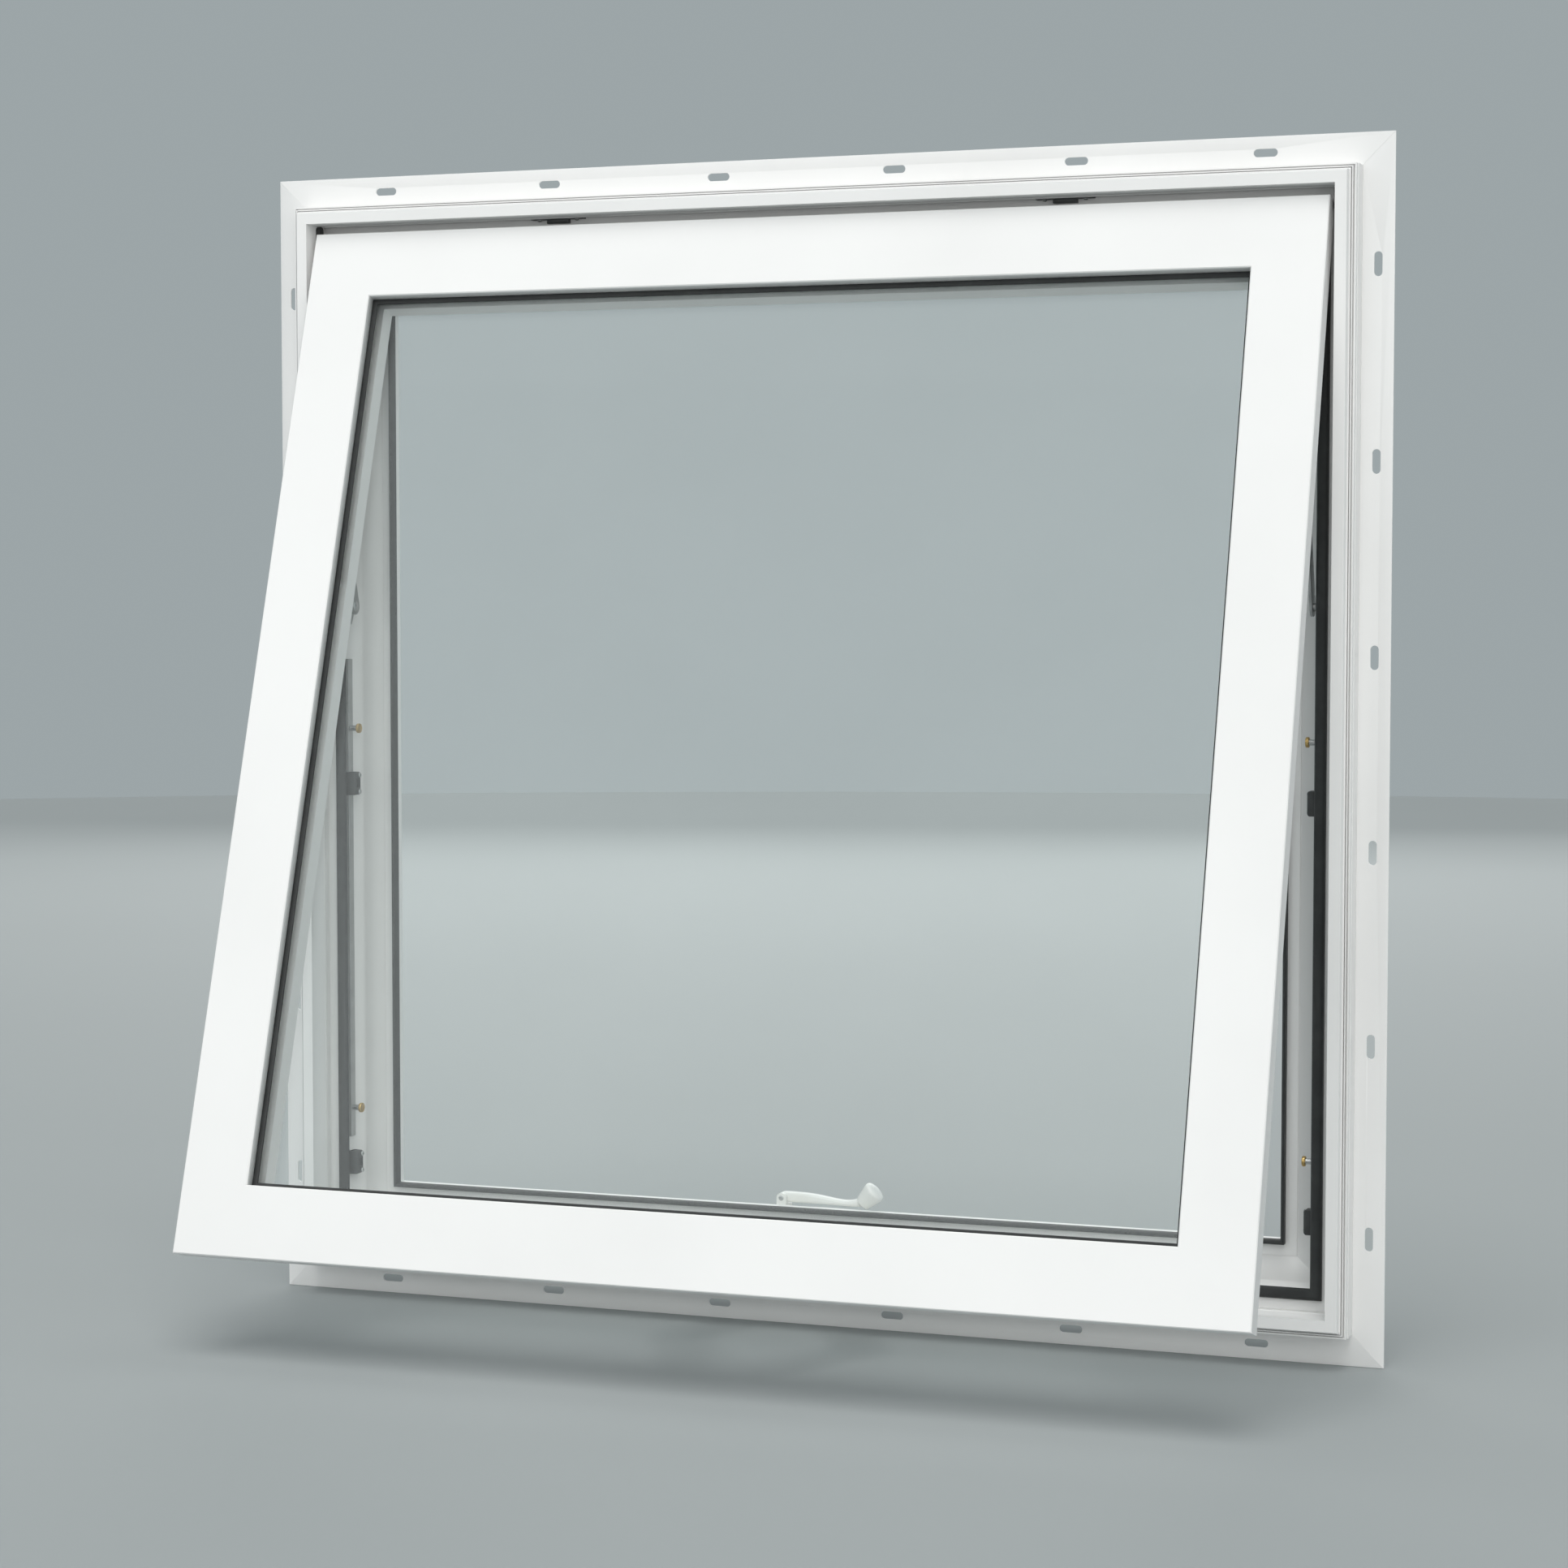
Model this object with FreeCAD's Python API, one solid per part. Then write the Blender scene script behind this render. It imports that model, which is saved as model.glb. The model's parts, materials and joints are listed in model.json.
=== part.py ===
import FreeCAD, Part
import math
import os

V = FreeCAD.Vector

# Frame, sizes in mm: outer size over the extrusion, nail fin and its slots.
frame_width = 914.4
frame_height = 914.4
fin_width = 25.4
fin_thickness = 1.6
slot_length = 19.05
slot_width = 6.35
slot_pitch = 152.4
slots_per_side = 6
slot_edge = 12.7

# Frame extrusion, depths along y (exterior negative, fin back face at 0).
face_y = -33.0
seal_step_y = 0.5
stop_y = 37.4
interior_y = 43.6
face_outer = 5.8
lip_reveal = 15.8
hardware_reveal = 31.0
stop_edge = 65.0
frame_wall = 2.2
face_chamfer = 1.0
groove_front_y = -26.6
groove_floor_y = -13.6
groove_inset = 4.6
rib_inset = 0.6
rib_thickness = 1.2
rib_front_y = -25.0
rib_step_y = -18.6
back_inset = 4.6
notch_length = 4.7
reveal_rib = 0.8
reveal_rib_y = (-7.2, -9.6)
stop_line = 0.9
stop_line_inset = 51.0

# Frame seals.
bulb_height = 5.0
bulb_inset = 24.4
bulb_overhang = 3.0
fin_seal_height = 7.6
fin_seal_width = 3.8

# Sash extrusion, set into the frame with a running gap.
sash_gap = 5.2
sash_face_y = -31.0
sash_back_y = 29.0
flange_depth = 19.5
seal_shoulder = 3.0
seal_shoulder_y = -10.0
hardware_gap = 17.5
rail_width = 58.0
front_leg = 9.0
rebate_width = 14.0
sash_chamfer = 0.8
sash_wall = 2.2

# Glazing unit, seal and beads.
glazing_seal = 3.4
glazing_lip = 3.5
glass_thickness = 4.0
glass_space = 10.0
glass_edge_gap = 3.0
spacer_width = 6.0
bead_gap = 0.3
bead_depth = 24.5
bead_slope_width = 6.0
bead_slope_depth = 8.5

# Opening of the sash: angle of the open rest position and the stay that gives it.
open_angle = 17.35
stay_length = 152.0
stay_line_y = 8.6
shoe_below_top = 16.8
track_width = 15.0
track_thickness = 2.5
track_end = 16.0
shoe_head = 4.6
shoe_length = 26.0
shoe_width = 9.0
shoe_thickness = 2.4
stay_arm_width = 15.0
stay_arm_thickness = 2.2
sash_arm_width = 12.0
sash_arm_thickness = 2.4
sash_arm_tail = 60.0
rivet_radius = 3.2
rivet_gap = 0.35
layer_gap = 0.8

# Lock bars with mushroom pins on the jambs, and their keepers on the sash.
lock_bar_width = 8.4
lock_bar_thickness = 2.0
lock_bar_y = 9.0
lock_bar_end = 25.4
lock_bar_gap = 8.0
lock_travel = 22.0
lower_pin_rise = 102.7
upper_pin_rise = 9.1
lock_pin_radius = 2.4
lock_head_radius = 4.2
lock_head_length = 2.8
lock_pin_reach = 9.2
slide_gap = 0.4
keeper_thickness = 2.0
keeper_width = 17.0
keeper_lip = 2.6
keeper_gap = 0.8
keeper_hold = 1.2
block_drop = 48.2
block_length = 20.0
block_width = 11.2
block_height = 9.5
block_recess = 2.4
block_chamfer = 1.5

# Head snubbers.
snubber_x = 220.0
snubber_block = 20.0
snubber_tab = 14.0
snubber_depth = 6.0
snubber_height = 4.4
snubber_tab_thickness = 1.2
snubber_chamfer = 1.6

# Scissor operator under the bottom rail.
arm_open_fold = 28.5
arm_width = 14.0
arm_thickness = 2.0
arm_spread = 14.0
arm_gap = 0.6
arm_clearance = 1.6
base_y = 19.0
base_length = 96.0
base_width = 30.0
base_thickness = 1.6
ear_thickness = 4.0
ear_wall = 0.4
yoke_length = 64.0
yoke_width = 14.0
yoke_thickness = 2.0
yoke_rise = 3.6
trunnion_radius = 1.0
slide_pin_radius = 1.8
post_radius = 3.5
bracket_y = 21.0
bracket_length = 64.0
bracket_thickness = 4.4
bracket_slope = 10.0
bracket_margin = 2.0
pin_engagement = 2.6

# Interior cover and folding crank handle.
cover_length = 150.0
cover_depth = 31.0
cover_top = 76.0
cover_low = 24.0
cover_sag = 10.0
cover_chamfer = 3.0
boss_radius = 6.5
handle_gap = 1.4
handle_x = -41.0
handle_reach = 71.2
handle_width = 10.0
handle_thickness = 8.5
handle_pin_radius = 2.0
knob_tilt = 44.0
knob_base_radius = 6.6
knob_radius = 9.8
knob_length = 15.0

fin_low = -slot_edge
frame_low = fin_low + fin_width
centre_z = frame_low + frame_height / 2
theta = math.radians(open_angle)
sash_width = frame_width - 2 * (lip_reveal + sash_gap)
sash_height = frame_height - 2 * (lip_reveal + sash_gap)
sash_inset = hardware_reveal + hardware_gap - lip_reveal - sash_gap
sash_side = hardware_reveal + hardware_gap


def polygon(points):
    """Closed wire through the given points."""
    vectors = [V(*p) for p in points]
    return Part.makePolygon(vectors + vectors[:1])


def box(x0, x1, y0, y1, z0, z1):
    """Box between two corners."""
    return Part.makeBox(x1 - x0, y1 - y0, z1 - z0, V(x0, y0, z0))


def cylinder(radius, start, end):
    """Cylinder between two points."""
    a = V(*start)
    b = V(*end)
    return Part.makeCylinder(radius, (b - a).Length, a, b - a)


def slot(length, width, y0, y1, x, z, along_x=True):
    """Round ended slot cutter through a wall that faces y."""
    r = width / 2
    h = length / 2 - r
    ends = [(x - h, z), (x + h, z)] if along_x else [(x, z - h), (x, z + h)]
    cut = cylinder(r, (ends[0][0], y0, ends[0][1]), (ends[0][0], y1, ends[0][1]))
    cut = cut.fuse(cylinder(r, (ends[1][0], y0, ends[1][1]), (ends[1][0], y1, ends[1][1])))
    dx, dz = (h, r) if along_x else (r, h)
    return cut.fuse(box(x - dx, x + dx, y0, y1, z - dz, z + dz)).removeSplitter()


def strip(outline, chambers, half_length, half_across):
    """One mitred length of a section given as (inset, y) points, laid along the bottom side."""
    def face(points):
        return Part.Face(polygon([(-half_length, y, d - half_across) for d, y in points]))

    section = face(outline)
    for chamber in chambers:
        section = section.cut(face(chamber))
    bar = section.extrude(V(2 * half_length, 0, 0))
    low = min(y for d, y in outline) - 1
    high = max(y for d, y in outline) + 1
    inner = max(d for d, y in outline) + 1
    outer = -half_across
    mitre = polygon([
        (-half_length, low, outer),
        (half_length, low, outer),
        (half_length - inner, low, outer + inner),
        (-half_length + inner, low, outer + inner),
    ])
    return bar.common(Part.Face(mitre).extrude(V(0, high - low, 0)))


def side(name, outline, chambers, width, height):
    """Mitred strip placed on one side of a frame of the given size about the window's centre."""
    turn = {"sill": 0, "left": 90, "head": 180, "right": 270}[name]
    if name in ("sill", "head"):
        shape = strip(outline, chambers, width / 2, height / 2)
    else:
        shape = strip(outline, chambers, height / 2, width / 2)
    shape.rotate(V(0, 0, 0), V(0, 1, 0), turn)
    shape.translate(V(0, 0, centre_z))
    return shape


def ring(outline, width, height):
    """Continuous ring of one section around all four sides."""
    parts = [side(name, outline, [], width, height) for name in ("sill", "left", "head", "right")]
    return parts[0].fuse(parts[1:]).removeSplitter()


def rectangle(d0, d1, y0, y1):
    """Section chamber."""
    return [(d0, y0), (d1, y0), (d1, y1), (d0, y1)]


def bevelled(shape, size, axis, level):
    """Shape with chamfers along the edges that lie at one level of an axis."""
    edges = [e for e in shape.Edges if all(abs(v.Point[axis] - level) < 1e-6 for v in e.Vertexes)]
    return shape.makeChamfer(size, edges)


def mirrored(shape):
    """Twin on the other jamb."""
    return shape.mirror(V(0, 0, 0), V(1, 0, 0))


def compound(shapes):
    """Like pieces that share a node."""
    return Part.makeCompound(shapes)


# Pole of the sash between closed and open, and the open position of what rides on the sash.
top_z = centre_z + sash_height / 2
shoe_z = top_z - shoe_below_top
fixed_z = shoe_z - 2 * stay_length
joint_z = shoe_z - stay_length
pole_y = stay_line_y - stay_length * math.sin(theta)
pole_z = shoe_z - stay_length * (1 - math.cos(theta))
shoe_drop = 2 * stay_length * (1 - math.cos(theta))


def opened(shape):
    """Sash piece turned from its closed place to the open rest position."""
    shape.rotate(V(0, pole_y, pole_z), V(1, 0, 0), -open_angle)
    return shape


def frame_section():
    """Outline and chambers of the frame extrusion."""
    rib = rib_inset + rib_thickness
    line_end = stop_line_inset + stop_line
    outline = [
        (back_inset, interior_y),
        (stop_edge, interior_y),
        (stop_edge, stop_y),
        (line_end, stop_y),
        (line_end, stop_y + stop_line),
        (stop_line_inset, stop_y + stop_line),
        (stop_line_inset, stop_y),
        (hardware_reveal, stop_y),
        (hardware_reveal, seal_step_y),
        (lip_reveal, seal_step_y),
    ]
    for y in reveal_rib_y:
        outline += [(lip_reveal, y + reveal_rib), (lip_reveal + reveal_rib, y + reveal_rib)]
        outline += [(lip_reveal + reveal_rib, y), (lip_reveal, y)]
    outline += [
        (lip_reveal, face_y),
        (face_outer + face_chamfer, face_y),
        (face_outer, face_y + face_chamfer),
        (face_outer, groove_front_y),
        (groove_inset, groove_front_y),
        (groove_inset, groove_floor_y),
        (rib, groove_floor_y),
        (rib, rib_front_y),
        (rib_inset, rib_front_y),
        (rib_inset, rib_step_y),
        (0, rib_step_y),
        (0, 0),
        (back_inset, 0),
    ]
    w = frame_wall
    web_y = (seal_step_y + interior_y) / 2
    chambers = [
        rectangle(face_outer + w, lip_reveal - w, face_y + w, groove_floor_y),
        rectangle(w, lip_reveal - w, groove_floor_y + w, -w),
        rectangle(back_inset + w, hardware_reveal - w, seal_step_y + w, web_y - w / 2),
        rectangle(back_inset + w, hardware_reveal - w, web_y + w / 2, interior_y - w),
        rectangle(hardware_reveal + w, stop_edge - w, stop_y + w, interior_y - w),
    ]
    return outline, chambers


def notched(shape):
    """Frame member with the small openings through the groove floor beside the jambs' ends."""
    rib = rib_inset + rib_thickness
    x_in = frame_width / 2 - groove_inset
    x_out = frame_width / 2 - rib
    z_out = frame_height / 2 - rib
    z_in = z_out - notch_length
    for x0, x1 in ((-x_out, -x_in), (x_in, x_out)):
        for z0, z1 in ((-z_out, -z_in), (z_in, z_out)):
            shape = shape.cut(box(x0, x1, groove_front_y, 1, centre_z + z0, centre_z + z1))
    return shape


def fin(name):
    """Nail fin of one side with its slots."""
    width = frame_width + 2 * fin_width
    height = frame_height + 2 * fin_width
    outline = rectangle(0, fin_width, -fin_thickness, 0)
    shape = side(name, outline, [], width, height)
    first = -(slots_per_side - 1) / 2 * slot_pitch
    for i in range(slots_per_side):
        place = first + i * slot_pitch
        if name == "sill":
            cut = slot(slot_length, slot_width, -5, 5, place, fin_low + slot_edge)
        elif name == "head":
            cut = slot(slot_length, slot_width, -5, 5, place, fin_low + height - slot_edge)
        elif name == "left":
            cut = slot(slot_length, slot_width, -5, 5, slot_edge - width / 2, centre_z + place, False)
        else:
            cut = slot(slot_length, slot_width, -5, 5, width / 2 - slot_edge, centre_z + place, False)
        shape = shape.cut(cut)
    return shape


def sash_section():
    """Outline and chambers of the sash extrusion."""
    leg_y = sash_face_y + front_leg
    flange_y = sash_face_y + flange_depth
    rebate = rail_width - rebate_width
    c = sash_chamfer
    outline = [
        (0, sash_face_y + c),
        (c, sash_face_y),
        (rail_width - c, sash_face_y),
        (rail_width, sash_face_y + c),
        (rail_width, leg_y),
        (rebate, leg_y),
        (rebate, sash_back_y),
        (sash_inset, sash_back_y),
        (sash_inset, seal_shoulder_y),
        (seal_shoulder, seal_shoulder_y),
        (seal_shoulder, flange_y),
        (0, flange_y),
    ]
    w = sash_wall
    chambers = [
        rectangle(seal_shoulder + w, sash_inset - w / 2, sash_face_y + w, seal_shoulder_y - w),
        rectangle(sash_inset + w / 2, rebate - w, sash_face_y + w, seal_shoulder_y - w),
        rectangle(sash_inset + w, rebate - w, seal_shoulder_y + w / 2, sash_back_y - w),
    ]
    return outline, chambers


glass_front_y = sash_face_y + front_leg + glazing_seal
space_y = glass_front_y + glass_thickness
inner_pane_y = space_y + glass_space
glass_back_y = inner_pane_y + glass_thickness
pane_inset = rail_width - rebate_width + glass_edge_gap


def pane(y0):
    """Glass pane of the sealed unit."""
    half_w = sash_width / 2 - pane_inset
    half_h = sash_height / 2 - pane_inset
    return box(-half_w, half_w, y0, y0 + glass_thickness, centre_z - half_h, centre_z + half_h)


def bead_section():
    """Glazing bead against the inner pane."""
    outer = rail_width - rebate_width + bead_gap
    return [
        (outer, glass_back_y),
        (rail_width, glass_back_y),
        (rail_width, glass_back_y + bead_depth - bead_slope_depth),
        (rail_width - bead_slope_width, glass_back_y + bead_depth),
        (outer, glass_back_y + bead_depth),
    ]


# Layers across the hardware space of a jamb, from the frame's reveal towards the sash.
reveal_x = -frame_width / 2 + hardware_reveal
sash_x = -frame_width / 2 + sash_side
track_x = reveal_x + track_thickness
shoe_x = track_x + rivet_gap + shoe_thickness
arm_x = shoe_x + layer_gap + stay_arm_thickness
sash_arm_x = sash_x - sash_arm_thickness


def flat_bar(x0, x1, width, y, z0, z1):
    """Round ended flat bar that lies against a jamb, between two pivot heights."""
    bar = box(x0, x1, y - width / 2, y + width / 2, z0, z1)
    bar = bar.fuse(cylinder(width / 2, (x0, y, z0), (x1, y, z0)))
    return bar.fuse(cylinder(width / 2, (x0, y, z1), (x1, y, z1))).removeSplitter()


def stay_track():
    """Track plate on the left jamb with edge lips beside the shoe and the fixed pivot."""
    half = track_width / 2
    low = fixed_z - track_end
    high = frame_low + frame_height - hardware_reveal - slide_gap
    right = [(half, high), (half, low + half), (half / 2, low)]
    profile = right + [(-y, z) for y, z in right[::-1]]
    plate = Part.Face(polygon([(reveal_x, stay_line_y + y, z) for y, z in profile]))
    plate = plate.extrude(V(track_thickness, 0, 0))
    lip = (track_width - shoe_width) / 2 - rivet_gap
    lip_low = shoe_z - shoe_drop - shoe_length - track_end
    for y in (stay_line_y - half, stay_line_y + half - lip):
        plate = plate.fuse(box(track_x, shoe_x, y, y + lip, lip_low, high))
    rivet = cylinder(rivet_radius, (track_x, stay_line_y, fixed_z), (arm_x, stay_line_y, fixed_z))
    return plate.fuse(rivet).removeSplitter()


def stay_shoe():
    """Sliding shoe in the left track with the pin of the sash arm, in its open place."""
    z = shoe_z - shoe_drop
    top = z + shoe_head
    half = shoe_width / 2
    inner = track_x + rivet_gap
    body = box(inner, shoe_x, stay_line_y - half, stay_line_y + half, top - shoe_length, top)
    pin = cylinder(rivet_radius, (shoe_x, stay_line_y, z), (sash_x - rivet_gap, stay_line_y, z))
    return body.fuse(pin).removeSplitter()


def stay_arm():
    """Support arm of the left stay from the fixed pivot to the sash arm, in its open place."""
    inner = arm_x - stay_arm_thickness
    bar = flat_bar(inner, arm_x, stay_arm_width, stay_line_y, fixed_z, joint_z)
    hole = cylinder(rivet_radius + rivet_gap, (inner - 5, stay_line_y, fixed_z), (arm_x + 5, stay_line_y, fixed_z))
    pin = cylinder(rivet_radius, (arm_x, stay_line_y, joint_z), (sash_x - rivet_gap, stay_line_y, joint_z))
    arm = bar.cut(hole).fuse(pin).removeSplitter()
    arm.rotate(V(0, stay_line_y, fixed_z), V(1, 0, 0), open_angle)
    return arm


def sash_arm():
    """Flat arm screwed to the left stile, with the shoe's pivot hole and the support arm's slot."""
    bar = flat_bar(sash_arm_x, sash_x, sash_arm_width, stay_line_y, joint_z - sash_arm_tail, shoe_z)
    r = rivet_radius + 2 * rivet_gap
    bar = bar.cut(cylinder(r, (sash_arm_x - 1, stay_line_y, shoe_z), (sash_x + 1, stay_line_y, shoe_z)))
    half = theta / 2
    across = 2 * stay_length * math.sin(half) * (1 - math.cos(half))
    along = stay_length * (1 - math.cos(theta)) - 2 * stay_length * (1 - math.cos(half))
    side_play = across * math.cos(half) + along * math.sin(half)
    r = rivet_radius + rivet_gap + side_play
    opening = flat_bar(sash_arm_x - 1, sash_x + 1, 2 * r, stay_line_y, joint_z, joint_z + along)
    return opened(bar.cut(opening))


lock_pin_heights = (frame_low + hardware_reveal + lower_pin_rise, centre_z + upper_pin_rise)
track_low = fixed_z - track_end
lock_tip_x = reveal_x + slide_gap + lock_bar_thickness + lock_pin_reach


def lock_bar():
    """Sliding lock bar on the left jamb, between its lower pin and the stay's track."""
    x = reveal_x + slide_gap
    half = lock_bar_width / 2
    low = lock_pin_heights[0] - lock_bar_end
    high = track_low - lock_travel - lock_bar_gap
    return box(x, x + lock_bar_thickness, lock_bar_y - half, lock_bar_y + half, low, high)


def lock_pins():
    """Mushroom pins on the left lock bar."""
    x = lock_tip_x - lock_pin_reach
    tip = lock_tip_x
    pins = []
    for z in lock_pin_heights:
        profile = [
            (x, 0),
            (x, lock_pin_radius),
            (tip - lock_head_length, lock_pin_radius),
            (tip - lock_head_length, lock_head_radius),
            (tip, lock_head_radius),
            (tip, 0),
        ]
        half = Part.Face(polygon([(a, lock_bar_y + r, z) for a, r in profile]))
        pins.append(half.revolve(V(0, lock_bar_y, z), V(1, 0, 0), 360))
    return pins


def alignment_blocks():
    """Dark blocks below the pins of the left jamb, each with a channel for the bar and a recess."""
    blocks = []
    for z in lock_pin_heights:
        c = z - block_drop
        low = c - block_length / 2
        high = c + block_length / 2
        y0 = lock_bar_y - block_width / 2
        top = reveal_x + block_height
        body = box(reveal_x, top, y0, y0 + block_width, low, high)
        body = bevelled(body, block_chamfer, 0, top)
        half = lock_bar_width / 2 + slide_gap
        depth = lock_bar_thickness + 2 * slide_gap
        body = body.cut(box(reveal_x - 1, reveal_x + depth, lock_bar_y - half, lock_bar_y + half, low - 1, high + 1))
        rim = block_length / 3
        wall = block_width / 4
        recess = box(top - block_recess, top + 1, y0 + wall, y0 + block_width - wall, low + rim, high - rim)
        blocks.append(body.cut(recess))
    return blocks


# Scissor operator: path of the sash bracket and the pitch of the yoke that follows it.
reveal_z = frame_low + hardware_reveal
sash_under_z = frame_low + sash_side
yoke_z = reveal_z + yoke_rise
arm_h = yoke_thickness / 2 + arm_clearance
link_h = arm_h + arm_thickness + arm_gap
pin_top_z = sash_under_z - bracket_thickness + pin_engagement
slope = math.tan(math.radians(bracket_slope))


def bracket_point(angle, shift):
    """Place (y, z) of the pin top at an opening angle, shifted along the sloping bracket."""
    dy = bracket_y + shift - pole_y
    dz = pin_top_z + shift * slope - pole_z
    c = math.cos(angle)
    s = math.sin(angle)
    return pole_y + dy * c + dz * s, pole_z - dy * s + dz * c


def reach_and_pitch(angle, shift):
    """Reach of the pins from the yoke and the yoke's pitch that put the pins at the bracket."""
    y, z = bracket_point(angle, shift)
    out = base_y - y
    up = z - yoke_z
    height = pin_top_z - yoke_z
    reach = math.copysign(math.sqrt(max(out * out + up * up - height * height, 0.0)), out)
    return reach, math.atan2(up, out) - math.atan2(height, reach)


reach_open, pitch_open = reach_and_pitch(theta, 0.0)
fold_open = math.radians(arm_open_fold)
arm_length = reach_open / (2 * math.cos(fold_open))
reach_closed = base_y - bracket_y
fold_closed = math.acos(reach_closed / (2 * arm_length))
reach_half = 2 * arm_length * math.cos((fold_open + fold_closed) / 2)
lost_motion = 0.0
for attempt in range(30):
    lost_motion += reach_and_pitch(theta / 2, lost_motion)[0] - reach_half
pitch_closed = 2 * reach_and_pitch(theta / 2, lost_motion)[1] - pitch_open


def pitched(shape):
    """Operator piece laid out level about the yoke's axis, turned to the open pitch."""
    shape.rotate(V(0, base_y, yoke_z), V(1, 0, 0), -math.degrees(pitch_open))
    return shape


def link(start, end, h, start_hole, end_hole):
    """Flat link between two (x, reach) places at a height above the yoke's axis, with eyes."""
    z = yoke_z + h
    a = V(start[0], base_y - start[1], z)
    b = V(end[0], base_y - end[1], z)
    up = V(0, 0, arm_thickness)
    r = arm_width / 2
    across = (b - a).cross(V(0, 0, 1)).normalize() * r
    bar = Part.Face(Part.makePolygon([a + across, b + across, b - across, a - across, a + across])).extrude(up)
    for centre in (a, b):
        bar = bar.fuse(Part.makeCylinder(r, arm_thickness, centre))
    bar = bar.removeSplitter()
    for centre, hole in ((a, start_hole), (b, end_hole)):
        if hole:
            bar = bar.cut(Part.makeCylinder(hole, arm_thickness + 2, centre - V(0, 0, 1)))
    return bar


elbow = (-arm_spread - arm_length * math.sin(fold_open), arm_length * math.cos(fold_open))
eye = post_radius + rivet_gap


def operator_arm():
    """Left lower arm with the elbow pin."""
    arm = link((-arm_spread, 0), elbow, arm_h, eye, 0)
    z = yoke_z + arm_h + arm_thickness
    place = (elbow[0], base_y - elbow[1])
    pin = cylinder(post_radius, (*place, z), (*place, z + arm_gap + arm_thickness))
    return pitched(arm.fuse(pin).removeSplitter())


def operator_link():
    """Left upper link with the pin that runs in the sash bracket."""
    bar = link(elbow, (-arm_spread, reach_open), link_h, eye, 0)
    z = yoke_z + link_h + arm_thickness
    place = (-arm_spread, base_y - reach_open)
    pin = cylinder(slide_pin_radius, (*place, z), (*place, pin_top_z))
    return pitched(bar.fuse(pin).removeSplitter())


def operator_yoke():
    """Carrier of the two lower arms, on trunnions in the base."""
    half = yoke_length / 2
    t = yoke_thickness / 2
    plate = box(-half, half, base_y - yoke_width / 2, base_y + yoke_width / 2, yoke_z - t, yoke_z + t)
    tip = base_length / 2 - ear_thickness / 2
    plate = plate.fuse(cylinder(trunnion_radius, (-tip, base_y, yoke_z), (tip, base_y, yoke_z)))
    for x in (-arm_spread, arm_spread):
        post = cylinder(post_radius, (x, base_y, yoke_z), (x, base_y, yoke_z + arm_h + arm_thickness))
        plate = plate.fuse(post)
    return pitched(plate.removeSplitter())


def operator_base():
    """Base plate on the sill with the two ears of the yoke."""
    half = base_length / 2
    y0 = base_y - base_width / 2
    hole = trunnion_radius + rivet_gap
    plate = box(-half, half, y0, y0 + base_width, reveal_z, reveal_z + base_thickness)
    for x in (-half, half - ear_thickness):
        ear = box(x, x + ear_thickness, base_y - 5, base_y + 5, reveal_z, yoke_z + hole + ear_wall)
        plate = plate.fuse(ear)
    plate = plate.removeSplitter()
    return plate.cut(cylinder(hole, (-half - 1, base_y, yoke_z), (half + 1, base_y, yoke_z)))


def operator_bracket():
    """Wedge under the bottom rail with the two slots of the link pins."""
    half = bracket_length / 2
    reach = slide_pin_radius + bracket_margin
    slot_y = (bracket_y + lost_motion - reach, bracket_y + reach)
    ends = [slot_y[0] - bracket_margin, slot_y[1] + bracket_margin]
    profile = [(ends[0], sash_under_z), (ends[1], sash_under_z)]
    profile += [(y, sash_under_z - bracket_thickness + (y - bracket_y) * slope) for y in ends[::-1]]
    wedge = Part.Face(polygon([(-half, y, z) for y, z in profile])).extrude(V(bracket_length, 0, 0))
    width = slide_pin_radius + 2 * rivet_gap
    for x in (-arm_spread, arm_spread):
        wedge = wedge.cut(box(x - width, x + width, slot_y[0], slot_y[1], reveal_z, sash_under_z + 1))
    return opened(wedge)


def operator_cover():
    """Cover of the gear on the interior face of the sill, arched along its top and sloped in front."""
    y = interior_y
    half = cover_length / 2
    height = cover_top - cover_low
    crest = Part.Arc(
        V(half, y, cover_top - cover_sag),
        V(0, y, cover_top),
        V(-half, y, cover_top - cover_sag),
    ).toShape()
    base = Part.makePolygon([
        V(-half, y, cover_top - cover_sag),
        V(-half, y, cover_low),
        V(half, y, cover_low),
        V(half, y, cover_top - cover_sag),
    ])
    front = Part.Face(Part.Wire([crest] + base.Edges)).extrude(V(0, cover_depth, 0))
    profile = [
        (y, cover_low),
        (y + 0.9 * cover_depth, cover_low + 0.12 * height),
        (y + cover_depth, cover_low + 0.7 * height),
        (y + 0.45 * cover_depth, cover_top),
        (y, cover_top),
    ]
    side_view = Part.Face(polygon([(-half, a, b) for a, b in profile])).extrude(V(cover_length, 0, 0))
    body = front.common(side_view).removeSplitter()
    edges = [e for e in body.Edges if max(v.Point.y for v in e.Vertexes) > y + 1e-6]
    return body.makeChamfer(cover_chamfer, edges)


handle_half = handle_thickness / 2
handle_y = interior_y + 0.45 * cover_depth + handle_width / 2
handle_z = cover_top + handle_half + handle_gap


def crank_boss(cover):
    """Boss of the crank spindle on the cover with the lug and pin of the folding handle."""
    r = handle_half
    y0 = handle_y - handle_width / 2
    y1 = y0 - rivet_gap
    top = handle_z - r - handle_gap
    post = cylinder(boss_radius, (handle_x, handle_y, cover_low + 10), (handle_x, handle_y, top))
    lug = cylinder(r, (handle_x, y1 - 4, handle_z), (handle_x, y1, handle_z))
    stem = box(handle_x - r, handle_x + r, y1 - 4, y1, top - 4, handle_z)
    pin = cylinder(handle_pin_radius, (handle_x, y0 - 1, handle_z), (handle_x, y0 + handle_width, handle_z))
    return post.fuse([lug, stem, pin]).removeSplitter().cut(cover)


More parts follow.
